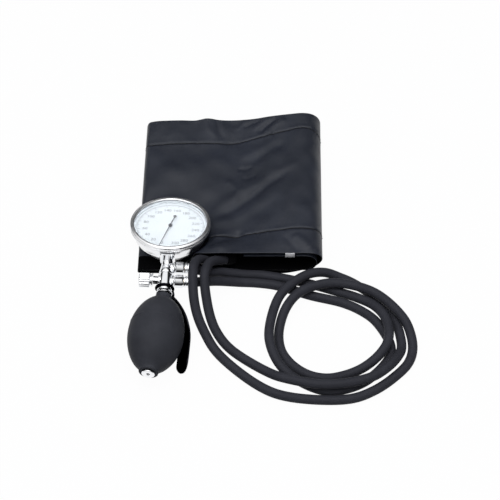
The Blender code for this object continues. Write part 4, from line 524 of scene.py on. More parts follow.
UPPER_ROUTE = (
    (-25, -93.3, 23.5), (-17, -91.2, 17.7), (-7, -86.4, 11.6), (13, -83.8, 5), (28, -84, 4.1),
    (61, -91.2, 4.1), (94, -102.5, 4.3), (108, -109.5, 6.2), (120, -119, 9.6), (128, -131, 12.2),
    (131.6, -146, 12.9), (129.5, -160, 12.9), (121, -171.8, 10.5), (108.5, -180, 6), (94, -185.6, 4.1),
    (80, -188.3, 4.1), (66, -185.5, 4.1), (53, -176.5, 4.1), (44, -163.5, 4.1), (41.2, -149, 4.2),
    (42.8, -135, 6.8), (48.3, -121, 10.8), (58, -109, 12.8), (72, -101.5, 12.9), (90, -98.6, 12.9),
    (121, -108.5, 12.9), (143.8, -133, 11.5), (149.6, -146, 7.6), (151, -160, 4.3), (147, -173, 4.1),
    (137, -185, 4.1), (118, -200, 4.1), (97, -208.3, 4.1), (48, -206, 4.1), (26, -196.5, 4.1),
    (-9, -164.5, 5.2), (-19.5, -148.5, 10.8), (-26, -135.5, 19.4), (-29, -122.5, 29), (-29.2, -99.5, 36.6),
    (-26, -89.4, 32.4), (-19.6, -80.8, 20.8),
)
LOWER_ROUTE = (
    (-23, -104.6, 22.6), (-10, -98.8, 15.6), (9, -93.2, 6.4), (23, -92.4, 4.3), (40, -95, 4.1),
    (68, -105.2, 4.1), (95, -113, 4.1), (110, -121, 4.1), (122, -132, 4.1), (133.2, -157, 4.1),
    (130.5, -170, 4.1), (108, -193.2, 4.1), (79, -200.4, 4.1), (53, -188.5, 5.4), (41.7, -178, 8.8),
    (34.8, -163.5, 12), (33.2, -147, 12.9), (42, -112.5, 12.9), (54.5, -97.5, 12.9), (68, -88.8, 12.7),
    (81, -85, 9.2), (93.5, -87, 4.9), (105, -92.8, 4.1), (128.5, -113.5, 4.1), (137, -127.5, 4.1),
    (141.9, -158, 6.1), (137.8, -171.2, 10.4), (128, -184, 12.8), (114, -193.5, 13), (80, -200, 13.1),
    (46, -193, 11.4), (31, -183.5, 6.8), (1, -159.5, 4.5), (-9.5, -146.5, 8.2), (-15.5, -134, 15.4),
    (-20.2, -108.8, 30.8), (-19.2, -98.5, 32), (-15.6, -89, 28.8), (-9.6, -80.6, 20.6),
)
UPPER_PORT = (-15.2, -75.5, 14.2)
LOWER_PORT = (-3, -75.5, 14.8)
UPPER_Y, LOWER_Y = 13.1, 0.0
HOSE_RADIUS = 0.0040
HOSE_SIDES = 28
HOSE_SPACING = 0.003
HOSE_START, FERRULE_END = 17.0, 23.0


def smooth_route(points, steps=16):
    """Dense points of a centripetal curve through the given ones, kept on the floor."""
    route = np.array([tuple(p) for p in points], dtype=float)
    gaps = np.sqrt(np.linalg.norm(np.diff(route, axis=0), axis=1))
    knots = np.concatenate(([0.0], np.cumsum(gaps)))
    knots = np.concatenate(([-gaps[0]], knots, [knots[-1] + gaps[-1]]))
    route = np.vstack((2 * route[0] - route[1], route, 2 * route[-1] - route[-2]))
    dense = []
    for i in range(1, len(route) - 2):
        before, here, ahead, after = route[i - 1:i + 3]
        k0, k1, k2, k3 = knots[i - 1:i + 3]
        span = k2 - k1
        leave = (ahead - here) - span * ((ahead - before) / (k2 - k0) - (here - before) / (k1 - k0))
        arrive = (ahead - here) - span * ((after - here) / (k3 - k1) - (after - ahead) / (k3 - k2))
        for s in np.linspace(0.0, 1.0, steps, endpoint=False):
            dense.append(hermite(s, here, leave, ahead, arrive))
    dense = np.array(dense + [route[-2]])
    dense[:, 2] = np.maximum(dense[:, 2], HOSE_RADIUS)
    return dense


def even_points(dense, spacing):
    """Evenly spaced points along dense ones, and the length."""
    run = run_along(dense)
    count = max(round(run[-1] / spacing), 2)
    return read_along(np.linspace(0.0, run[-1], count + 1), run, dense), float(run[-1])


def tube(name, points, radius, sides, material):
    """A round tube along points, with turned-in rounded ends."""
    ahead = np.gradient(points, axis=0)
    ahead /= np.linalg.norm(ahead, axis=1)[:, None]
    side = np.cross(ahead[0], (0, 0, 1.0))
    frames = []
    for along in ahead:
        side = side - along * np.dot(side, along)
        side /= np.linalg.norm(side)
        frames.append((side, np.cross(along, side)))
    lip, last = radius * 0.12, len(points) - 1
    rings = [(0, radius * 0.55, 0.0), (0, radius - lip, 0.0), (0, radius, lip)]
    rings += [(i, radius, 0.0) for i in range(1, last)]
    rings += [(last, radius, -lip), (last, radius - lip, 0.0), (last, radius * 0.55, 0.0)]
    angles = [2 * math.pi * k / sides for k in range(sides)]
    vertices = []
    for index, reach, along in rings:
        a, b = frames[index]
        centre = points[index] + ahead[index] * along
        vertices += [centre + reach * (a * math.cos(angle) + b * math.sin(angle)) for angle in angles]
    return mesh_object(name, vertices, loft(len(rings), sides), material, None, 50.0)


def add_hose(name, route, port, connector_y):
    """One hose from inside its ferrule, along its route, to its port under the cuff."""
    start, out = [UNIT @ (Vector((x, connector_y, 0)) * MM) for x in (HOSE_START, FERRULE_END)]
    free = [Vector(p) * MM for p in route]
    port_at = Vector(port) * MM
    heading = (port_at - free[-1]).normalized()
    stop = port_at - heading * 0.0003
    straight = stop - heading * 2 * HOSE_RADIUS
    points, length = even_points(smooth_route([start, out] + free[:-1] + [straight, stop]), HOSE_SPACING)
    hose = tube(name + "_tube", points, HOSE_RADIUS, HOSE_SIDES, M_HOSE)
    piece(hose, ROOT, name, slot="rubber")


add_hose("hose_upper", UPPER_ROUTE, UPPER_PORT, UPPER_Y)
add_hose("hose_lower", LOWER_ROUTE, LOWER_PORT, LOWER_Y)


# Gauge

BEZEL_RADIUS = 34.0
BEZEL_BACK = 5.0
BOWL_BACK_RADIUS = 22.0
BOWL_FLARE = 10.0
BOWL_DEPTH = 25.6
BOWL_EDGE = 0.55
BOWL_POWER = 1.85
PRINT_LOW, PRINT_HIGH = -5.58, -5.53
TICK_END = 28.4
NUMBER_RING = 21.6
FULL_SCALE = 300
DIAL_START, DIAL_SWEEP = -105, 330


def bowl_radius(share, flare=BOWL_FLARE):
    """The bowl's radius at a share of the way from the bezel to its back."""
    return BOWL_BACK_RADIUS + flare * (1 - share ** BOWL_POWER)


def bowl_profile(steps=28):
    """The side of the pressed case, from under the bezel to its back."""
    depth = BOWL_DEPTH - BOWL_EDGE - BEZEL_BACK
    return [(bowl_radius(i / steps), -BEZEL_BACK - depth * i / steps) for i in range(steps + 1)]


def cut(obj, cutter):
    """One object with the shape of another taken away."""
    modifier = obj.modifiers.new("cut", "BOOLEAN")
    modifier.operation = "DIFFERENCE"
    modifier.solver = "EXACT"
    modifier.object = cutter
    name, material = obj.name, obj.data.materials[0]
    mesh = baked(obj)
    bpy.data.objects.remove(cutter)
    return finish_mesh(name, mesh, material, None, 30.0)


def add_gauge():
    """Bezel, bowl, dial and the ring round it."""
    bezel = [
        (30.6, -0.9), (30.6, -0.45, 0.2), (31.1, 0, 0.3), (32.3, 0, 0.3), (32.9, -0.4, 0.4),
        (33.8, -0.5, 0.5), (34, -1.2, 0.4), (34, -2, 0.3), (33.3, -2.4, 0.2), (33.3, -2.8, 0.2),
        (34, -3.1, 0.3), (34, -4.6, 0.4), (33.4, -5, 0.3), (32.6, -5), (32.6, -1.1), (30.6, -1.1)]
    piece(lathe("bezel", bezel, M_SATIN, DIAL, 160), ROOT, "bezel_ring", slot="chrome")
    side = [(r + 0.35, z) if -16.8 < z < -14.0 else (r, z) for r, z in bowl_profile()]
    back = [(22, -25.05), (20.9, -25.6, 0.6), (16, -25.6, 0.4), (15.6, -25.3, 0.2), (0, -25.3)]
    case = [(30.7, -2.5), (32.2, -2.5), (32.2, -4.8)] + side + back
    piece(lathe("bowl", case, M_SATIN, DIAL, 160), ROOT, "gauge_case", slot="chrome")
    plate = [(0, -5.6), (29.6, -5.6), (30.1, -5.4), (30.4, -5), (30.4, -5.8), (1.2, -6.2)]
    piece(lathe("dial_face", plate, M_DIAL, DIAL, 128), ROOT, "dial_plate", slot="white_dial")
    surround = [(30.6, -2.4), (30, -5), (30.4, -5.2), (30.9, -2.4)]
    piece(lathe("dial_surround", surround, M_CHROME_FINE, DIAL, 128, closed=True), ROOT, slot="chrome")


def dial_angle(value):
    """Angle of a value on the dial. 0 is just left of the bottom, and values grow clockwise."""
    return math.radians(DIAL_START - DIAL_SWEEP * value / FULL_SCALE)


def tick(value):
    """A mark on the dial, longer and wider at tens and at twenties."""
    if value % 20 == 0:
        inner, half = 25.8, 0.17
    elif value % 10 == 0:
        inner, half = 26.4, 0.13
    else:
        inner, half = 27.2, 0.08
    spin = Matrix.Rotation(dial_angle(value), 4, "Z") @ Matrix.Scale(MM, 4)
    corners = [(inner, -half), (TICK_END, -half), (TICK_END, half), (inner, half)]
    vertices = [spin @ Vector((x, y, z)) for z in (PRINT_LOW, PRINT_HIGH) for x, y in corners]
    faces = [(3, 2, 1, 0), (4, 5, 6, 7), (0, 1, 5, 4), (1, 2, 6, 5), (2, 3, 7, 6), (3, 0, 4, 7)]
    return mesh_object(f"tick_{value}", vertices, faces, M_PRINT, DIAL)


def number(value):
    """A printed number inside the marks."""
    name, angle = f"number_{value}", dial_angle(value)
    data = bpy.data.curves.new(name, "FONT")
    data.body = str(value)
    data.size = 4.4 * MM
    data.align_x = "CENTER"
    data.align_y = "CENTER"
    data.extrude = 0.02 * MM
    data.resolution_u = 3
    mesh = baked(placed(name, data))
    mesh.transform(DIAL @ move(*polar(NUMBER_RING, angle), PRINT_LOW + 0.03))
    mesh.materials.append(M_PRINT)
    return placed(name, mesh)


def add_scale():
    """Fine tick marks every 2 units, longer ones at 10 and 20, and numbers every 20 up to 300."""
    parts = [tick(value) for value in range(0, FULL_SCALE + 2, 2)]
    ring = [(28.45, PRINT_HIGH), (28.65, PRINT_HIGH), (28.65, PRINT_LOW), (28.45, PRINT_LOW)]
    parts.append(lathe("scale_ring", ring, M_PRINT, DIAL, 128, closed=True))
    parts += [number(value) for value in range(0, FULL_SCALE + 1, 20)]
    piece(join("dial_scale", parts), ROOT, slot="black_enamel")


def add_needle():
    """A slim tapered needle with a ring on its tail and a domed hub."""
    at = DIAL @ move(0, 0, -3.3) @ Matrix.Rotation(dial_angle(0), 4, "Z")
    half = [(29, 0), (28.6, 0.14), (2, 0.36), (-2, 0.34), (-11.2, 0.28)]
    outline = half + [(x, -y) for x, y in half[:0:-1]]
    blade = prism("needle_blade", outline, -0.2, 0.2, 0.08, M_NEEDLE, at)
    dome = [(0, 0.5), (0.9, 0.5, 0.2), (1.1, 0.2, 0.1), (1.6, 0.1, 0.2), (1.7, -1, 0.2), (0, -1)]
    hub = lathe("needle_hub", dome, M_NEEDLE, at, 48)
    ring = [(0.7, 0.2), (1.4, 0.2, 0.1), (1.4, -0.2, 0.1), (0.7, -0.2)]
    tail = lathe("needle_tail", ring, M_NEEDLE, at @ move(-11.6, 0, 0), 40, arc=3, closed=True)
    piece(join("needle_piece", [blade, hub, tail]), "needle", "pointer", slot="black_enamel")


add_gauge()
add_scale()
add_needle()
dress(M_GLASS, "lens")
dress(M_BRASS, "movement_plate", "movement_bridge", "bridge_pillar_far", "bridge_pillar_left",
      "bridge_pillar_right", "capsule", "capsule_base", "inlet_tube", "sector_gear",
      "hose_tail_lower", "hose_tail_upper", "end_valve_cap")
dress(M_STEEL, "pointer_arbor", "hairspring", "rocker_shaft", "push_pin", "release_spindle")
dress(M_INNER_RUBBER, "bladder", "end_valve_disc")
dress(M_PORT, "bladder_port_a", "bladder_port_b")
dress(M_CHROME_FINE, "release_gland")


# Neck, nuts, knob, collar

BOSS_HALF = 6.45
BOSS_LOW, BOSS_HIGH = -5.0, 8.2
BOSS_CORNER = 1.4
NUT_FLATS = 10.0
KNOB_FLUTES = 20


def hexagon(flats, rounding=0.6):
    """A hexagon across flats with softened corners."""
    corner = flats / math.sqrt(3)
    points = []
    for k in range(6):
        base = math.radians(60 * k)
        for offset in (-rounding / corner, 0, rounding / corner):
            reach = corner - abs(offset) * corner * 0.55 - (0.12 if offset == 0 else 0)
            points.append(polar(reach, base + offset))
    return points


def boss_outline():
    """The boss behind the gauge, as a rectangle with round corners."""
    x, r = BOSS_HALF - BOSS_CORNER, BOSS_CORNER
    low, high = BOSS_LOW + r, BOSS_HIGH - r
    outline = []
    for cx, cz, start in ((x, high, 0), (-x, high, 90), (-x, low, 180), (x, low, 270)):
        for step in range(6):
            across, up = polar(r, math.radians(start + 18 * step))
            outline.append((cx + across, cz + up))
    return outline


def add_neck():
    """The plated neck with its boss, grooves and the two hose roots."""
    stem = [
        (0, 21.7), (4.7, 21.7), (4.7, 15, 0.2), (4.2, 14.5, 0.2), (4.2, 13.5, 0.2), (5.2, 13, 0.3),
        (6, 8, 1), (6, 6.6, 0.3), (5.7, 6.2, 0.2), (5.7, 5.4, 0.2), (6, 5, 0.2), (6, -6.4, 0.4),
        (5.5, -6.9, 0.3), (5, -6.9), (5, -13.9), (2.6, -13.9), (2.6, -16.3), (3.3, -16.5), (2.6, -18.3),
        (2.6, -19.7), (3.3, -19.9), (2.6, -21.7), (2.6, -23.1), (3.3, -23.3), (2.6, -25), (1.5, -25)]
    parts = [lathe("neck_stem", stem, M_CHROME, UNIT @ ALONG_Y)]
    boss = prism("neck_boss", boss_outline(), -33.5, -20.5, 0.6, M_CHROME, UNIT @ ALONG_MINUS_Y)
    envelope = [(0.0, 1.0), (32.5, 1.0)] + [(r + 0.2, z) for r, z in bowl_profile()] + [(0.0, -25.8)]
    parts.append(cut(boss, lathe("bowl_envelope", envelope, M_CHROME, DIAL)))
    root = [(0, 7), (5.5, 7, 0.3), (5.5, 6.4, 0.3), (4.4, 5.8, 0.3), (4, 5, 0.4), (4, 0)]
    for y in (LOWER_Y, UPPER_Y):
        parts.append(lathe("neck_root", root, M_CHROME, UNIT @ move(0, y, 0) @ ALONG_X, 64))
    socket = [(0, 5.8), (3.6, 6.2, 0.3), (4.8, 6, 0.3), (4.8, 0)]
    parts.append(lathe("neck_socket", socket, M_CHROME, UNIT @ ALONG_MINUS_X, 64))
    piece(join("neck", parts), ROOT, "valve_body", slot="chrome")


def add_nuts():
    """The hexagon nuts and the rolled ferrules over the hose ends."""
    face = [(0, 15.3), (4.4, 15.3, 0.3), (4.6, 14.7, 0.2), (4.6, 7.8, 0.2), (4.4, 7.3, 0.3), (0, 7.3)]
    ferrule = [
        (4.3, 15.6), (4.7, 15.6, 0.2), (4.9, 16, 0.2), (4.9, 17.2, 0.2), (4.7, 17.4, 0.1), (4.7, 17.7, 0.1),
        (4.9, 17.9, 0.2), (4.9, 19.2, 0.2), (4.7, 19.4, 0.1), (4.7, 19.7, 0.1), (4.9, 19.9, 0.2),
        (4.9, 21.4, 0.3), (4.6, 22, 0.2), (4.25, 22)]
    for name, y in (("lower", LOWER_Y), ("upper", UPPER_Y)):
        at = UNIT @ move(0, y, 0) @ ALONG_X
        body = prism(f"nut_{name}_hex", hexagon(NUT_FLATS), 7.8, 14.8, 0.7, M_CHROME, at @ turn(0, 0, 12))
        flange = lathe(f"nut_{name}_faces", face, M_CHROME, at, 64, arc=3)
        piece(join(f"nut_{name}", [body, flange]), ROOT, f"hose_nut_{name}", slot="chrome")
        ring = lathe(f"ferrule_{name}_ring", ferrule, M_CHROME, at, 72, arc=3)
        piece(ring, ROOT, f"ferrule_{name}", slot="chrome")


def flute(angle, r, z):
    """The knob's radius with its flutes, which run between its two chamfers."""
    if 13.2 < z < 21.3 and r > 5.6:
        return r - 0.4 * max(math.cos(KNOB_FLUTES * angle), -0.35) * 0.74 - 0.14
    return r


def add_knob():
    """The fluted release knob with its chamfered end, a lower flange and a dished face."""
    side = [
        (1.8, 21.7), (4, 21.7, 0.4), (4.4, 22, 0.2), (5.5, 22, 0.3), (6.3, 21.2, 0.5), (6.3, 13.3, 0.5),
        (5.5, 12.6, 0.3), (4.8, 12.4, 0.2), (4.8, 11.9, 0.2), (5.7, 11.6, 0.3), (5.7, 10.4, 0.3),
        (5, 10.3, 0.1), (1.9, 10.3)]
    shell = lathe("knob_shell", side, M_CHROME, UNIT @ ALONG_MINUS_X, 240, wobble=flute, sharp=50.0)
    dish = [(0, 21.4), (1.2, 21.4, 0.3), (1.9, 21.7)]
    cap = lathe("knob_cap", dish, M_CHROME_FINE, UNIT @ ALONG_MINUS_X, 48, arc=3)
    piece(join("knob_piece", [shell, cap]), "knob", "release_knob", slot="chrome")


def add_collar():
    """The collar that holds the bulb's throat."""
    ring = [
        (5.3, -8.7), (6, -8.7, 0.2), (6.4, -9.2, 0.3), (6.4, -10.4, 0.2), (6.1, -10.7, 0.1), (6.1, -11, 0.1),
        (6.4, -11.3, 0.2), (7, -13.3, 0.4), (7, -13.95, 0.2), (5.3, -13.95)]
    piece(lathe("collar", ring, M_CHROME, UNIT @ ALONG_Y), ROOT, "collar_nut", slot="chrome")


add_neck()
add_nuts()
add_knob()
add_collar()


# Bulb, end valve, spoon

BULB_RADIUS = 23.0
BULB_LENGTH = 75.5
BULB_FRONT = 39.7
BULB_THROAT = 6.8
BULB_END = 8.0
FRONT_START = 2.7
BACK_END = BULB_LENGTH - 1.4
RIDGE_AT = 31.0
SPOON_TIP = BULB_LENGTH * 0.861
SPOON_START = 7.0
SPOON_ROOT, SPOON_REACH = 8.7, 25.4
SPOON_NARROW, SPOON_WIDE = 4.2, 9.8
SPOON_THICKNESS = 0.0011
SPOON_ANGLE = 33
SPOON_RISE = 0.80
THROAT_Y = -15.0


def soft_max(a, b, blend):
    """The larger of two values with a rounded change-over."""
    share = clamp(0.5 + (a - b) / (2 * blend))
    return b + (a - b) * share + blend * share * (1 - share)


def bulb_side(reach):
    """The bulb's radius at a distance from its throat, with the mould ridge and the groove behind it."""
    if reach <= BULB_FRONT:
        share, lip, blend = (BULB_FRONT - reach) / (BULB_FRONT - FRONT_START), BULB_THROAT, 1.3
    else:
        share, lip, blend = (reach - BULB_FRONT) / (BACK_END - BULB_FRONT), BULB_END, 4.4
    r = soft_max(BULB_RADIUS * math.sqrt(max(1 - share * share, 0.0)), lip, blend)
    r += 0.30 * math.exp(-((reach - RIDGE_AT) / 0.45) ** 2)
    return r - 0.10 * math.exp(-((reach - RIDGE_AT - 1.2) / 0.4) ** 2)


def hand_moulded(angle, r, z):
    """A hand-moulded bulb isn't quite round."""
    if r < 12:
        return r
    return r + 0.12 * math.sin(3 * angle + 0.08 * z) + 0.08 * math.sin(5 * angle - 0.13 * z)


def add_bulb(steps=150):
    """The moulded rubber bulb, its throat lip, mould ridge and rounded back lip, with the end valve."""
    side = [(bulb_side(BULB_LENGTH * i / steps), -BULB_LENGTH * i / steps) for i in range(2, steps - 1)]
    back = [(8.0, 0.2 - BULB_LENGTH, 0.8), (6.2, -BULB_LENGTH, 0.4), (5.8, 0.6 - BULB_LENGTH, 0.3),
            (4.5, 0.8 - BULB_LENGTH)]
    profile = [(5.0, 0.0), (6.6, 0.0, 0.5)] + side + back
    skin = lathe("bulb_skin", profile, M_BULB, BULB @ ALONG_Y, 192, wobble=hand_moulded, sharp=60.0)
    piece(skin, ROOT, "bulb", slot="rubber")
    flange = [
        (1.3, 4), (1.3, -0.9, 0.3), (1.8, -1.4, 0.3), (3, -1.2, 0.2), (3.4, -1.4, 0.2), (5, -1.4, 0.3),
        (5.4, -1, 0.3), (5.4, 0, 0.2), (3.7, 0), (3.7, 3)]
    end = BULB @ ALONG_Y @ move(0, 0, -BULB_LENGTH - 0.3)
    piece(lathe("end_valve", flange, M_CHROME_FINE, end, 80), ROOT, "end_valve_body", slot="chrome")


def spoon_reach(along):
    """Distance of the spoon's outer face from the neck's axis."""
    if along <= 0:
        return SPOON_ROOT - ease(clamp((-2.2 - along) / 4.8))
    share = min(along / (BULB_FRONT * 0.9824), 1)
    rise = math.sin(share * math.pi / 2) ** SPOON_RISE
    sink = 1.44 * max(along / SPOON_TIP - 0.65, 0)
    return SPOON_ROOT + (SPOON_REACH - SPOON_ROOT) * rise - sink


def spoon_half(along):
    """Half the spoon's width, which grows from its root and closes in a round tip."""
    grow = math.sin(clamp(along / (SPOON_TIP * 0.30)) * math.pi / 2)
    width = SPOON_NARROW + (SPOON_WIDE - SPOON_NARROW) * grow
    left = SPOON_TIP - along
    if left < SPOON_WIDE:
        width *= math.sqrt(max(1 - (1 - left / SPOON_WIDE) ** 2, 0.004))
    return width


def add_spoon(rows=90, across=28):
    """The bent sheet spoon with rolled edges, and its ring on the neck."""
    vertices, faces = [], []
    for i in range(rows + 1):
        along = -SPOON_START + (SPOON_TIP + SPOON_START) * i / rows
        reach, half = spoon_reach(along), spoon_half(along)
        for share in [2 * side / across - 1 for side in range(across + 1)]:
            curl = 0.30 * max(abs(share) - 0.82, 0) / 0.18
            groove = 0.25 * math.exp(-(share / 0.35) ** 2) * clamp(along / 10)
            x, z = polar((reach - curl - groove) * MM, half * share / reach)
            vertices.append((x, (THROAT_Y - along) * MM, z))
    count = across + 1
    for i in range(rows):
        faces += [(a, a + 1, a + 1 + count, a + count) for a in range(i * count, i * count + across)]
    mesh = bpy.data.meshes.new("spoon_blade")
    mesh.from_pydata(vertices, [], faces)
    sheet = placed("spoon_blade", mesh)
    thick = sheet.modifiers.new("thick", "SOLIDIFY")
    thick.thickness = SPOON_THICKNESS
    thick.offset = -1
    edge = sheet.modifiers.new("edge", "BEVEL")
    edge.width = 0.0003
    edge.segments = 3
    edge.limit_method = "ANGLE"
    edge.angle_limit = math.radians(50)
    pivot = UNIT @ turn(0, SPOON_ANGLE, 0)
    blade = finish_mesh("spoon_blade", baked(sheet), M_SPOON, pivot, 50.0)
    ring = [(5.3, -8.4), (7.9, -8.4, 0.3), (8.1, -8.1, 0.2), (8.1, -7.5, 0.2), (7.9, -7.2, 0.3), (5.3, -7.2)]
    collar = lathe("spoon_ring", ring, M_SPOON, pivot @ ALONG_Y, arc=3, closed=True)
    piece(join("spoon_lever", [blade, collar]), "spoon", "spoon", slot="chrome")


add_bulb()
add_spoon()


# Cuff

CUFF_NEAR, CUFF_FAR = -0.0790, 0.0780
CUFF_LEFT, CUFF_RIGHT = -0.0780, 0.0800
CUFF_HEIGHT = 0.0287
CUFF_LAP = 0.0120
WRAP_PITCH = 0.0044
CLOTH_THICKNESS = 0.0005
PATCH_THICKNESS = 0.0007
BLADDER_THICKNESS = 0.0009
BLADDER_INSIDE, LINING_INSIDE, HOOK_INSIDE, LOOP_INSIDE = 0.0008, 0.0012, 0.0016, -0.0010
BLADDER_MARGIN, PATCH_MARGIN = 0.024, 0.016
PATCH_LEFT, PATCH_RIGHT = 0.018, 0.060
CORNER_LIFT = 0.0110
EDGE_PLACES = (0.0, 0.0005, 0.0013)
ROW_START, ROW_STEP = 0.0026, 0.0016
SEAM_BAND, SEAM_STEP = 0.0024, 0.00055
PANEL_COUNTS = (22, 16, 30, 16, 112, 26, 22)
MIDDLE, LEFT_FOLD, TOP, RIGHT_FOLD, UNDER = 2, 3, 4, 5, 6
TOP_X_SHARES = (0, 0.06, 0.14, 0.22, 0.30, 0.36, 0.43, 0.52, 0.61, 0.72, 0.83, 0.92, 1)
TOP_ROW_SHARES = (0, 0.045, 0.16, 0.225, 0.293, 0.37, 0.47, 0.62, 0.83, 0.955, 1)
TOP_SHARES = (
    (0.17, 0.17, 0.20, 0.30, 0.96, 1.00, 1.00, 1.00, 1.00, 1.00, 1.00, 1.00, 0.94),
    (0.18, 0.19, 0.22, 0.28, 0.84, 0.97, 0.98, 0.96, 0.98, 1.00, 1.02, 1.03, 0.94),
    (0.24, 0.26, 0.28, 0.30, 0.40, 0.62, 0.72, 0.70, 0.80, 0.94, 1.05, 1.06, 0.90),
    (0.28, 0.30, 0.31, 0.32, 0.40, 0.56, 0.66, 0.68, 0.78, 0.93, 1.05, 1.065, 0.91),
    (0.32, 0.34, 0.34, 0.34, 0.40, 0.50, 0.62, 0.66, 0.76, 0.92, 1.05, 1.07, 0.92),
    (0.40, 0.44, 0.44, 0.44, 0.46, 0.54, 0.63, 0.67, 0.76, 0.90, 1.03, 1.06, 0.94),
    (0.46, 0.52, 0.54, 0.54, 0.54, 0.58, 0.64, 0.68, 0.75, 0.88, 1.00, 1.05, 0.95),
    (0.48, 0.56, 0.60, 0.62, 0.63, 0.64, 0.66, 0.66, 0.72, 0.84, 0.96, 1.02, 0.94),
    (0.46, 0.55, 0.58, 0.58, 0.59, 0.60, 0.60, 0.60, 0.68, 0.80, 0.93, 0.97, 0.90),
    (0.48, 0.59, 0.63, 0.64, 0.65, 0.71, 0.65, 0.65, 0.70, 0.84, 0.95, 0.98, 0.88),
    (0.48, 0.60, 0.64, 0.65, 0.66, 0.76, 0.66, 0.66, 0.70, 0.84, 0.96, 0.99, 0.88),
)

# A seam has its place in the grid, how far it pulls the cloth, the line it is pulled to, and its puckers.
Seam = namedtuple("Seam", "name y reach line seed puckers")
SEAMS = (
    Seam("upper", 0.0525, 0.026, ((-80, 51.6), (-71, 51.6), (-36, 52.4), (-2, 52.0), (12, 53.4), (26, 56.0),
                                  (46, 59.4), (62, 61.6), (81, 60)),
         3, (-5.5, -2.8, -0.2, 2.2, 5.4, 8.6, 30.0, 33.0, 38.0)),
    Seam("lower", -0.0545, 0.024, ((-80, -54.5), (-12, -54.8), (20, -54.5), (52, -53.4), (81, -54.5)),
         8, (24.0, 27.0, 29.5)),
)

# A crease has its line, its width and its height.
CREASES = (
    (((-15.4, -34.6), (2, -24.8), (18.4, -13.5), (34.9, 0.8), (52.4, 13.9)), 4.5, -1.5),
    (((-19, -25), (-2, -15.5), (13, -4.5), (28, 9), (46, 22)), 5.5, 0.8),
    (((-8, -42), (10, -33), (26, -22), (44, -8)), 5.5, 0.7),
    (((23.7, 60.5), (33.5, 68.8), (42.5, 75.2)), 2.6, -1.4),
    (((19, 64), (28.5, 72), (34, 77)), 2.6, 0.8),
    (((30, 58.5), (39, 66), (49.5, 73.5)), 3.2, 0.8),
    (((13.2, -50.8), (-3.7, -59.4), (-21.3, -72.2)), 4, -2),
    (((20, -58), (4, -66.5), (-10, -76.5)), 4.5, 1),
    (((-3.4, 9.1), (7.1, -4.4), (2, -18.9)), 3.6, 0.7),
    (((8.7, 31.1), (28.1, 42.7), (45.9, 54.4)), 4.5, 0.8),
    (((13, 24.5), (32, 36), (50, 47)), 4.5, -0.8),
    (((61.2, 22.8), (34.9, 8), (8.9, -11)), 4, 0.6),
    (((11.3, 68.5), (17.5, 72.1), (28.2, 75.6)), 2, -0.9),
    (((4, 66), (12, 74), (15, 78)), 2.4, 0.6),
    (((6, 21), (13.5, 19.5), (20, 23)), 1.8, -0.8),
    (((10, 8.5), (16, 8), (24, 12.5)), 1.8, -0.6),
    (((-70, -8), (-50, -3), (-30, -6), (-12, -16)), 6, -0.7),
    (((-66, 20), (-45, 26), (-22, 22)), 9, 0.5),
    (((54, -60), (62, -68), (70, -77)), 4, 0.9),
    (((46, -60), (53, -69), (60, -78)), 3.4, -0.8),
    (((-60, 56), (-48, 66), (-40, 77)), 5, 0.5),
    (((-12, 57), (-20, 68), (-24, 77)), 3.2, 0.6),
    (((-6, 56), (-10, 66), (-12, 77)), 2.6, -0.7),
)
CREASE_GAIN = 1.1

# The rolled strip has the places of its outer face, its inward directions, the first column of each panel,
# and Y of its rows before they are pulled.
Strip = namedtuple("Strip", "grid inward starts rows")


def strip_rows():
    """Places across the strip, closer together along its seams and its edges."""
    places = [CUFF_NEAR + place for place in EDGE_PLACES]
    y = CUFF_NEAR + ROW_START
    while y < CUFF_FAR - ROW_START:
        places.append(y)
        y += SEAM_STEP if min(abs(y - seam.y) for seam in SEAMS) < SEAM_BAND else ROW_STEP
    return np.array(places + [CUFF_FAR - place for place in reversed(EDGE_PLACES)])


def seam_line(seam, x):
    """Y of a sewn seam at places along X, in millimetres."""
    return np.interp(x, *np.transpose(seam.line))


def seam_shift(x, y):
    """How far the cloth's rows are pulled along Y so that its seams run as sewn."""
    shift = np.zeros_like(x)
    for seam in SEAMS:
        weight = ease(np.clip(1 - np.abs(y - seam.y) / seam.reach, 0, 1))
        shift += (seam_line(seam, x / MM) * MM - seam.y) * weight
    return shift


def find_span(stops, values):
    """Which span between stops each value lies in, how long it is, and the share of the way through it."""
    index = np.clip(np.searchsorted(stops, values) - 1, 0, len(stops) - 2)
    span = stops[index + 1] - stops[index]
    return index, span, np.clip((values - stops[index]) / span, 0, 1)


def smooth_table(x, y):
    """The measured height of the cuff's top, read smoothly over the table in both directions."""
    places = np.array(TOP_X_SHARES)
    index, span, s = find_span(places, np.clip((x - CUFF_LEFT) / (CUFF_RIGHT - CUFF_LEFT), 0, 1))
    after = index + 1
    rows = []
    for heights in np.array(TOP_SHARES):
        slopes = np.gradient(heights, places)
        rows.append(hermite(s, heights[index], span * slopes[index], heights[after], span * slopes[after]))
    rows = np.array(rows)
    along = np.clip((y - CUFF_NEAR) / (CUFF_FAR - CUFF_NEAR), 0, 1)
    index, span, s = find_span(np.array(TOP_ROW_SHARES), along)
    here, ahead = [np.take_along_axis(rows, index[None] + step, axis=0)[0] for step in (0, 1)]
    return CUFF_HEIGHT * (here + (ahead - here) * (ease(s) * 0.6 + s * 0.4))


def line_distance(x, y, points):
    """Distance to a broken line, and the share of the way along it, for arrays of places."""
    best = np.full(x.shape, np.inf)
    place = np.zeros(x.shape)
    for i, ((ax, ay), (bx, by)) in enumerate(zip(points, points[1:])):
        dx, dy = bx - ax, by - ay
        t = np.clip(((x - ax) * dx + (y - ay) * dy) / (dx * dx + dy * dy), 0, 1)
        distance = np.hypot(x - ax - t * dx, y - ay - t * dy)
        place = np.where(distance < best, (i + t) / (len(points) - 1), place)
        best = np.minimum(best, distance)
    return best, place


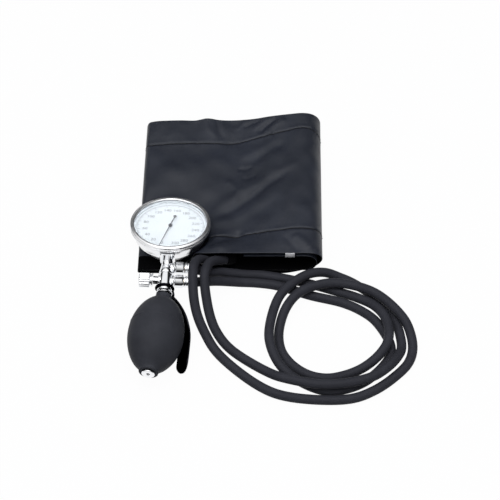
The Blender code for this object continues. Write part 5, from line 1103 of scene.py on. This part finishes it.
def crease_lift(x, y):
    """Height of the creases at places in millimetres."""
    lift = np.zeros_like(x)
    for points, width, height in CREASES:
        distance, place = line_distance(x, y, points)
        fade = ease(np.clip(np.minimum(place, 1 - place) * 5 + 0.12, 0, 1))
        lift += CREASE_GAIN * height * fade * np.exp(-(distance / width) ** 2)
    return lift


def seam_lift(x, y, seam, spread=44):
    """Height of a seam's groove, its raised sides and its puckers at places in millimetres."""
    away = y - seam_line(seam, x)
    lift = 0.22 * np.exp(-((np.abs(away) - 2.2) / 1.5) ** 2) - 0.60 * np.exp(-(away / 0.75) ** 2)
    rng = np.random.default_rng(seam.seed)
    spots = [*rng.uniform(-74, 78, spread), *seam.puckers]
    for i, spot in enumerate(spots):
        size = rng.uniform(0.10, 0.24) if i < spread else 0.55
        lean = rng.uniform(-0.35, 0.35)
        width = rng.uniform(0.9, 1.6)
        side = rng.uniform(2.5, 6.0)
        lift -= size * np.exp(-((x - spot - lean * away) / width) ** 2) * np.exp(-(away / side) ** 2)
    return lift


def uneven_lift(x, y):
    """A slow unevenness at places in millimetres."""
    lift = np.zeros_like(x)
    rng = np.random.default_rng(21)
    for _ in range(16):
        angle, wave = rng.uniform(0, math.pi), rng.uniform(16, 46)
        phase = rng.uniform(0, 2 * math.pi)
        way = (x * math.cos(angle) + y * math.sin(angle)) / wave
        lift += 0.0045 * wave * np.sin(2 * math.pi * way + phase)
    return lift


def wrinkles(x, y):
    """Creases, puckers along the seams and a slow unevenness, in metres, at places in metres."""
    x, y = x / MM, y / MM
    return (crease_lift(x, y) + sum(seam_lift(x, y, seam) for seam in SEAMS) + uneven_lift(x, y)) * MM


def gauge_underside():
    """Points on the underside of the bezel and the bowl, which the cloth stays below."""
    rings = [(BEZEL_RADIUS, -0.8), (BEZEL_RADIUS, -BEZEL_BACK), (33.1, -BEZEL_BACK)]
    for share in np.arange(12) / 11:
        rings.append((bowl_radius(share, BOWL_FLARE + 0.1), -BEZEL_BACK - (BOWL_DEPTH - BEZEL_BACK) * share))
    rings += [(BOWL_BACK_RADIUS * i / 8, -BOWL_DEPTH) for i in range(1, 8)]
    angles = [2 * math.pi * k / 96 for k in range(96)]
    return np.array([DIAL @ (Vector((*polar(r, angle), z)) * MM) for r, z in rings for angle in angles])


def ceiling(x, y, reach=0.0032, gap=0.0013):
    """Greatest free height under the gauge at places."""
    under = gauge_underside()
    low = np.full(x.shape, 1.0)
    for spot in zip(*np.nonzero((x < -0.008) & (y < -0.008))):
        hit = (under[:, 0] - x[spot]) ** 2 + (under[:, 1] - y[spot]) ** 2 < reach * reach
        if hit.any():
            low[spot] = under[hit, 2].min() - gap
    return low


def oval(low, high, bulge, base, count, downward, power=0.9):
    """X and z of points round a fold, as a half oval between two heights."""
    angle = np.pi * (np.arange(count) + 0.5) / count
    lift = np.cos(angle) if downward else -np.cos(angle)
    middle, half = (low + high) / 2, (high - low) / 2
    return base + (bulge - base) * np.sin(angle) ** power, middle + half * lift


def spread(first, last, count, offset):
    """Evenly spaced places from one towards another, each moved on by a share of a step."""
    return first + (last - first) * (np.arange(count) + offset) / count


def strip_section(y):
    """X and z of the rolled strip at one place across it, panel by panel from its inner end."""
    share = (y - CUFF_NEAR) / (CUFF_FAR - CUFF_NEAR)
    left_x, right_x = CUFF_LEFT + 0.0032 * share, 0.0785 + 0.0020 * share
    left, right = left_x + WRAP_PITCH, CUFF_RIGHT - CUFF_HEIGHT / 2
    inner_right = right - WRAP_PITCH / 2
    first, fold, middle, left_fold, across, right_fold, under = PANEL_COUNTS
    raised = middle // 2
    flat = middle - raised

    def top(x):
        return smooth_table(x, np.full_like(x, y))

    def top_at(x):
        return top(np.array([x]))[0]

    inner = spread(CUFF_LAP, inner_right, first, 0)
    upper = spread(left, right, across, 0.5)
    lower = np.append(spread(right, CUFF_LAP, under, 0.5), CUFF_LAP)
    panels = (
        (inner, top(inner) - WRAP_PITCH),
        oval(WRAP_PITCH, top_at(inner_right) - WRAP_PITCH, right_x - WRAP_PITCH, inner_right, fold, True),
        (spread(inner_right, CUFF_LAP - WRAP_PITCH, raised, 1), np.full(raised, WRAP_PITCH)),
        (spread(CUFF_LAP - 2 * WRAP_PITCH, left, flat, 0),
         WRAP_PITCH * 0.5 * np.clip(1 - np.arange(flat) / 2.0, 0, 1) ** 2),
        oval(0.0, top_at(left), left_x, left, left_fold, False),
        (upper, top(upper)),
        oval(0.0, top_at(right), right_x, right, right_fold, True),
        (lower, np.zeros(under + 1)),
    )
    return np.concatenate([x for x, z in panels]), np.concatenate([z for x, z in panels])


def blur(values, passes):
    """Heights mixed with those next to them."""
    for _ in range(passes):
        padded = np.pad(values, 1, mode="edge")
        beside = padded[:-2, 1:-1] + padded[2:, 1:-1] + padded[1:-1, :-2] + padded[1:-1, 2:]
        values = (beside + 4 * values) / 8
    return values


def crease_strip(grid, starts):
    """Smooth, pull and crease the outer turn of the strip."""
    outer = grid[:, starts[LEFT_FOLD]:starts[UNDER]]
    outer[:, :, 2] = blur(outer[:, :, 2], 6)
    columns, count = np.arange(outer.shape[1]), outer.shape[1]
    side = np.minimum(columns / PANEL_COUNTS[LEFT_FOLD], (count - columns) / PANEL_COUNTS[RIGHT_FOLD])
    weight = np.clip(side * 1.4 - 0.35, 0, 1)[None]
    rise = np.clip(outer[:, :, 2] / CUFF_HEIGHT, 0, 1)
    outer[:, :, 1] += seam_shift(outer[:, :, 0], outer[:, :, 1]) * weight * np.clip(rise * 3, 0, 1)
    x, y = outer[:, :, 0], outer[:, :, 1]
    edge = np.clip(np.minimum(y - CUFF_NEAR, CUFF_FAR - y) / 0.004, 0, 1)
    outer[:, :, 2] += wrinkles(x, y) * weight * (0.45 + 0.55 * edge)


def fit_under_gauge(grid, starts):
    """Keep the top of the strip below the gauge."""
    top = grid[:, starts[TOP]:starts[RIGHT_FOLD]]
    roof = blur(np.minimum(ceiling(top[:, :, 0], top[:, :, 1]), 0.06), 1)
    top[:, :, 2] = np.minimum(top[:, :, 2], np.where(roof < 0.058, roof, 1.0))


def lift_corner(grid, starts):
    """Raise the near right corner of the strip's underside off the ground."""
    low = grid[:, starts[RIGHT_FOLD]:]
    x, y, z = low[:, :, 0], low[:, :, 1], low[:, :, 2]
    corner = np.clip((x - 0.046) / 0.032, 0, 1) ** 1.3 * np.clip(1 - (y - CUFF_NEAR) / 0.045, 0, 1) ** 1.5
    height = np.maximum(z.max(axis=1, keepdims=True), 1e-4)
    low[:, :, 2] = z + CORNER_LIFT * corner * np.clip(1 - z / height, 0, 1)


def rolled_strip():
    """The strip as it lies rolled up, creased and under the gauge."""
    rows = strip_rows()
    starts = np.concatenate(([0], np.cumsum(PANEL_COUNTS)))
    grid = np.zeros((len(rows), starts[-1] + 1, 3))
    for i, y in enumerate(rows):
        grid[i, :, 0], grid[i, :, 2] = strip_section(y)
        grid[i, :, 1] = y
    crease_strip(grid, starts)
    fit_under_gauge(grid, starts)
    lift_corner(grid, starts)
    inward = np.cross(np.gradient(grid, axis=0), np.gradient(grid, axis=1))
    inward /= np.maximum(np.linalg.norm(inward, axis=2), 1e-12)[:, :, None]
    return Strip(grid, inward, starts, rows)


def cloth_piece(name, strip, lift, thickness, part, *materials, marks=0):
    """A closed sheet over a part of the strip, with its flat map in metres, and its length and width.

    lift is how far it lies inside the strip. marks are the materials of the faces on its outer side.
    """
    place, normal = strip.grid[part], strip.inward[part]
    rows, columns = place.shape[:2]
    total, quads = rows * columns, (rows - 1) * (columns - 1)
    inset = np.ones((rows, columns))
    inset[[0, -1]] = 0.35
    middle = place + normal * (lift[part] + thickness / 2)[:, :, None]
    half = normal * (thickness / 2 * inset)[:, :, None]
    vertices = np.concatenate(((middle - half).reshape(-1, 3), (middle + half).reshape(-1, 3)))
    mesh = bpy.data.meshes.new(name)
    mesh.from_pydata(vertices.tolist(), [], closed_sheet(rows, columns))
    for material in materials:
        mesh.materials.append(material)
    slots = np.zeros(len(mesh.polygons), dtype=np.int32)
    slots[0:2 * quads:2] = np.ravel(marks)
    # Back faces take the second material; for the outer cloth that is the near-black painted shade of the
    # inside.
    slots[1:2 * quads:2] = 1
    mesh.polygons.foreach_set("material_index", np.minimum(slots, len(materials) - 1))
    flat_u, flat_v = run_along(place[rows // 2]), place[:, columns // 2, 1]
    loops = np.zeros(len(mesh.loops), dtype=np.int32)
    mesh.loops.foreach_get("vertex_index", loops)
    index = loops % total
    uv = np.stack([flat_u[index % columns], flat_v[index // columns]], axis=1)
    mesh.uv_layers.new(name="flat").data.foreach_set("uv", uv.ravel())
    clean(mesh, 70.0)
    return placed(name, mesh), float(flat_u[-1]), float(flat_v[-1] - flat_v[0])


def stitches(name, strip, row, columns, pitch=0.0032, length=0.0022, radius=0.00022):
    """Short thread stitches along one row of the strip."""
    vertices, faces = [], []
    outward = -strip.inward[row, columns]
    line = strip.grid[row, columns] + outward * radius * 0.5
    run = run_along(line)
    sides = [math.pi * k / 3 for k in range(6)]
    shape = ((0, -2.2, 0.55), (0.18, 0.3, 1), (0.5, 0.6, 1), (0.82, 0.3, 1), (1, -2.2, 0.55))
    stop = 0.0
    while stop + length < run[-1]:
        stops = [stop + length * share for share, rise, size in shape]
        normals = read_along(stops, run, outward)
        rises = np.array([[rise] for share, rise, size in shape])
        centres = read_along(stops, run, line) + normals * radius * rises
        ahead = centres[-1] - centres[0]
        ahead /= np.linalg.norm(ahead)
        faces += loft(len(shape), 6, len(vertices))
        for centre, normal, (share, rise, size) in zip(centres, normals, shape):
            side = np.cross(ahead, normal)
            side /= np.linalg.norm(side)
            vertices += [centre + radius * size * (side * math.cos(a) + normal * math.sin(a)) for a in sides]
        stop += pitch
    return mesh_object(name, vertices, faces, M_THREAD, None, 60.0)


def outer_marks(strip):
    """The outer cloth's finish by face: nylon, near-black painted shadow of the gauge on the near left
    corner, or thread in the seams.
    """
    x, y = strip.grid[:-1, :-1, 0], strip.grid[:-1, :-1, 1]
    column, first = np.arange(x.shape[1]), strip.starts[LEFT_FOLD]
    near_seam = np.min([np.abs(strip.rows[:-1] + 0.0003 - seam.y) for seam in SEAMS], axis=0) < 0.00056
    sewn = near_seam[:, None] & (column > first + 3) & (column < strip.starts[UNDER])
    # Faces in the near left corner under the gauge take the near-black material as painted shadow of the
    # gauge.
    return np.where((x < -0.034) & (y < -0.066) & (column >= first), 1, np.where(sewn, 2, 0))


def rows_inside(strip, margin):
    """The rows of the strip that keep a margin from both of its edges."""
    rows = np.nonzero((CUFF_NEAR + margin <= strip.rows) & (strip.rows <= CUFF_FAR - margin))[0]
    return slice(rows[0], rows[-1] + 1)


def add_cuff():
    """The folded cuff: outer cloth, bladder, inner cloth, both patches and the stitching."""
    strip = rolled_strip()
    starts, middle_row = strip.starts, strip.grid[len(strip.rows) // 2, :, 0]
    flush = np.zeros(strip.grid.shape[:2])
    whole = np.s_[:, :]
    # The outer cloth's back faces and its corner under the gauge are near-black painted shade.
    outer, length, width = cloth_piece("cuff_cloth", strip, flush, CLOTH_THICKNESS, whole,
                                       M_CLOTH, M_INSIDE_PAINTED_SHADE, M_THREAD, marks=outer_marks(strip))
    sewn = slice(starts[LEFT_FOLD] + 4, starts[UNDER] - 2)
    seams = []
    for seam in SEAMS:
        row = int(np.argmin(np.abs(strip.rows - seam.y)))
        seams.append(stitches(f"seam_{seam.name}", strip, row, sewn))
    stitching = join("cuff_stitching", seams)
    piece(stitching, ROOT, slot="nylon")
    piece(outer, ROOT, "cuff_outer_cloth", slot="nylon")

    top = middle_row[starts[TOP]:starts[RIGHT_FOLD]]
    first = starts[TOP] + int(np.argmin(np.abs(top + CUFF_LAP)))
    filled = (rows_inside(strip, BLADDER_MARGIN), slice(first, starts[UNDER]))
    lift = flush + BLADDER_INSIDE
    bladder, _, _ = cloth_piece("cuff_bladder", strip, lift, BLADDER_THICKNESS, filled, M_INNER_RUBBER)
    piece(bladder, ROOT, "bladder", slot="rubber")
    lift[filled] += LINING_INSIDE
    lift = np.maximum(blur(lift, 2), lift)
    # The lining is near-black: painted shade inside the cuff.
    inner, inner_length, _ = cloth_piece("cuff_lining", strip, lift, CLOTH_THICKNESS, whole, M_INSIDE_PAINTED_SHADE)
    piece(inner, ROOT, "cuff_inner_cloth", slot="nylon")

    def add_patch(name, node, material, inside, first, last):
        """A patch on those columns from first to last that lie between its left and right ends."""
        spots = [j for j in range(first, last) if PATCH_LEFT <= middle_row[j] <= PATCH_RIGHT]
        part = (rows_inside(strip, PATCH_MARGIN), slice(spots[0], spots[-1] + 1))
        patch, _, _ = cloth_piece(name, strip, flush + inside, PATCH_THICKNESS, part, material)
        piece(patch, ROOT, node, slot="nylon")
        return patch

    hook = add_patch("hook_strip", "hook_patch", M_HOOK, HOOK_INSIDE, starts[UNDER], len(middle_row))
    loop = add_patch("loop_strip", "loop_patch", M_LOOP, LOOP_INSIDE, starts[MIDDLE], starts[LEFT_FOLD])


def add_tag(rows=6, columns=12):
    """The small blank woven tag that sticks out under the near edge."""
    low, high = [Vector(corner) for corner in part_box("size_tag")]
    vertices = []
    for near in (low.y, high.y):
        for i in range(rows + 1):
            for j in range(columns + 1):
                bow = 0.0006 * math.sin(math.pi * i / rows) * math.sin(math.pi * j / columns)
                drop = (high.z - low.z) * i / rows
                x = low.x + (high.x - low.x) * j / columns
                vertices.append((x, near - bow, high.z - drop + 0.0002 * math.sin(9 * j / columns)))
    tag = mesh_object("blank_tag", vertices, closed_sheet(rows + 1, columns + 1), M_TAG, None, 60.0)
    piece(tag, ROOT, "size_tag", slot="tag_cloth")


add_cuff()
add_tag()
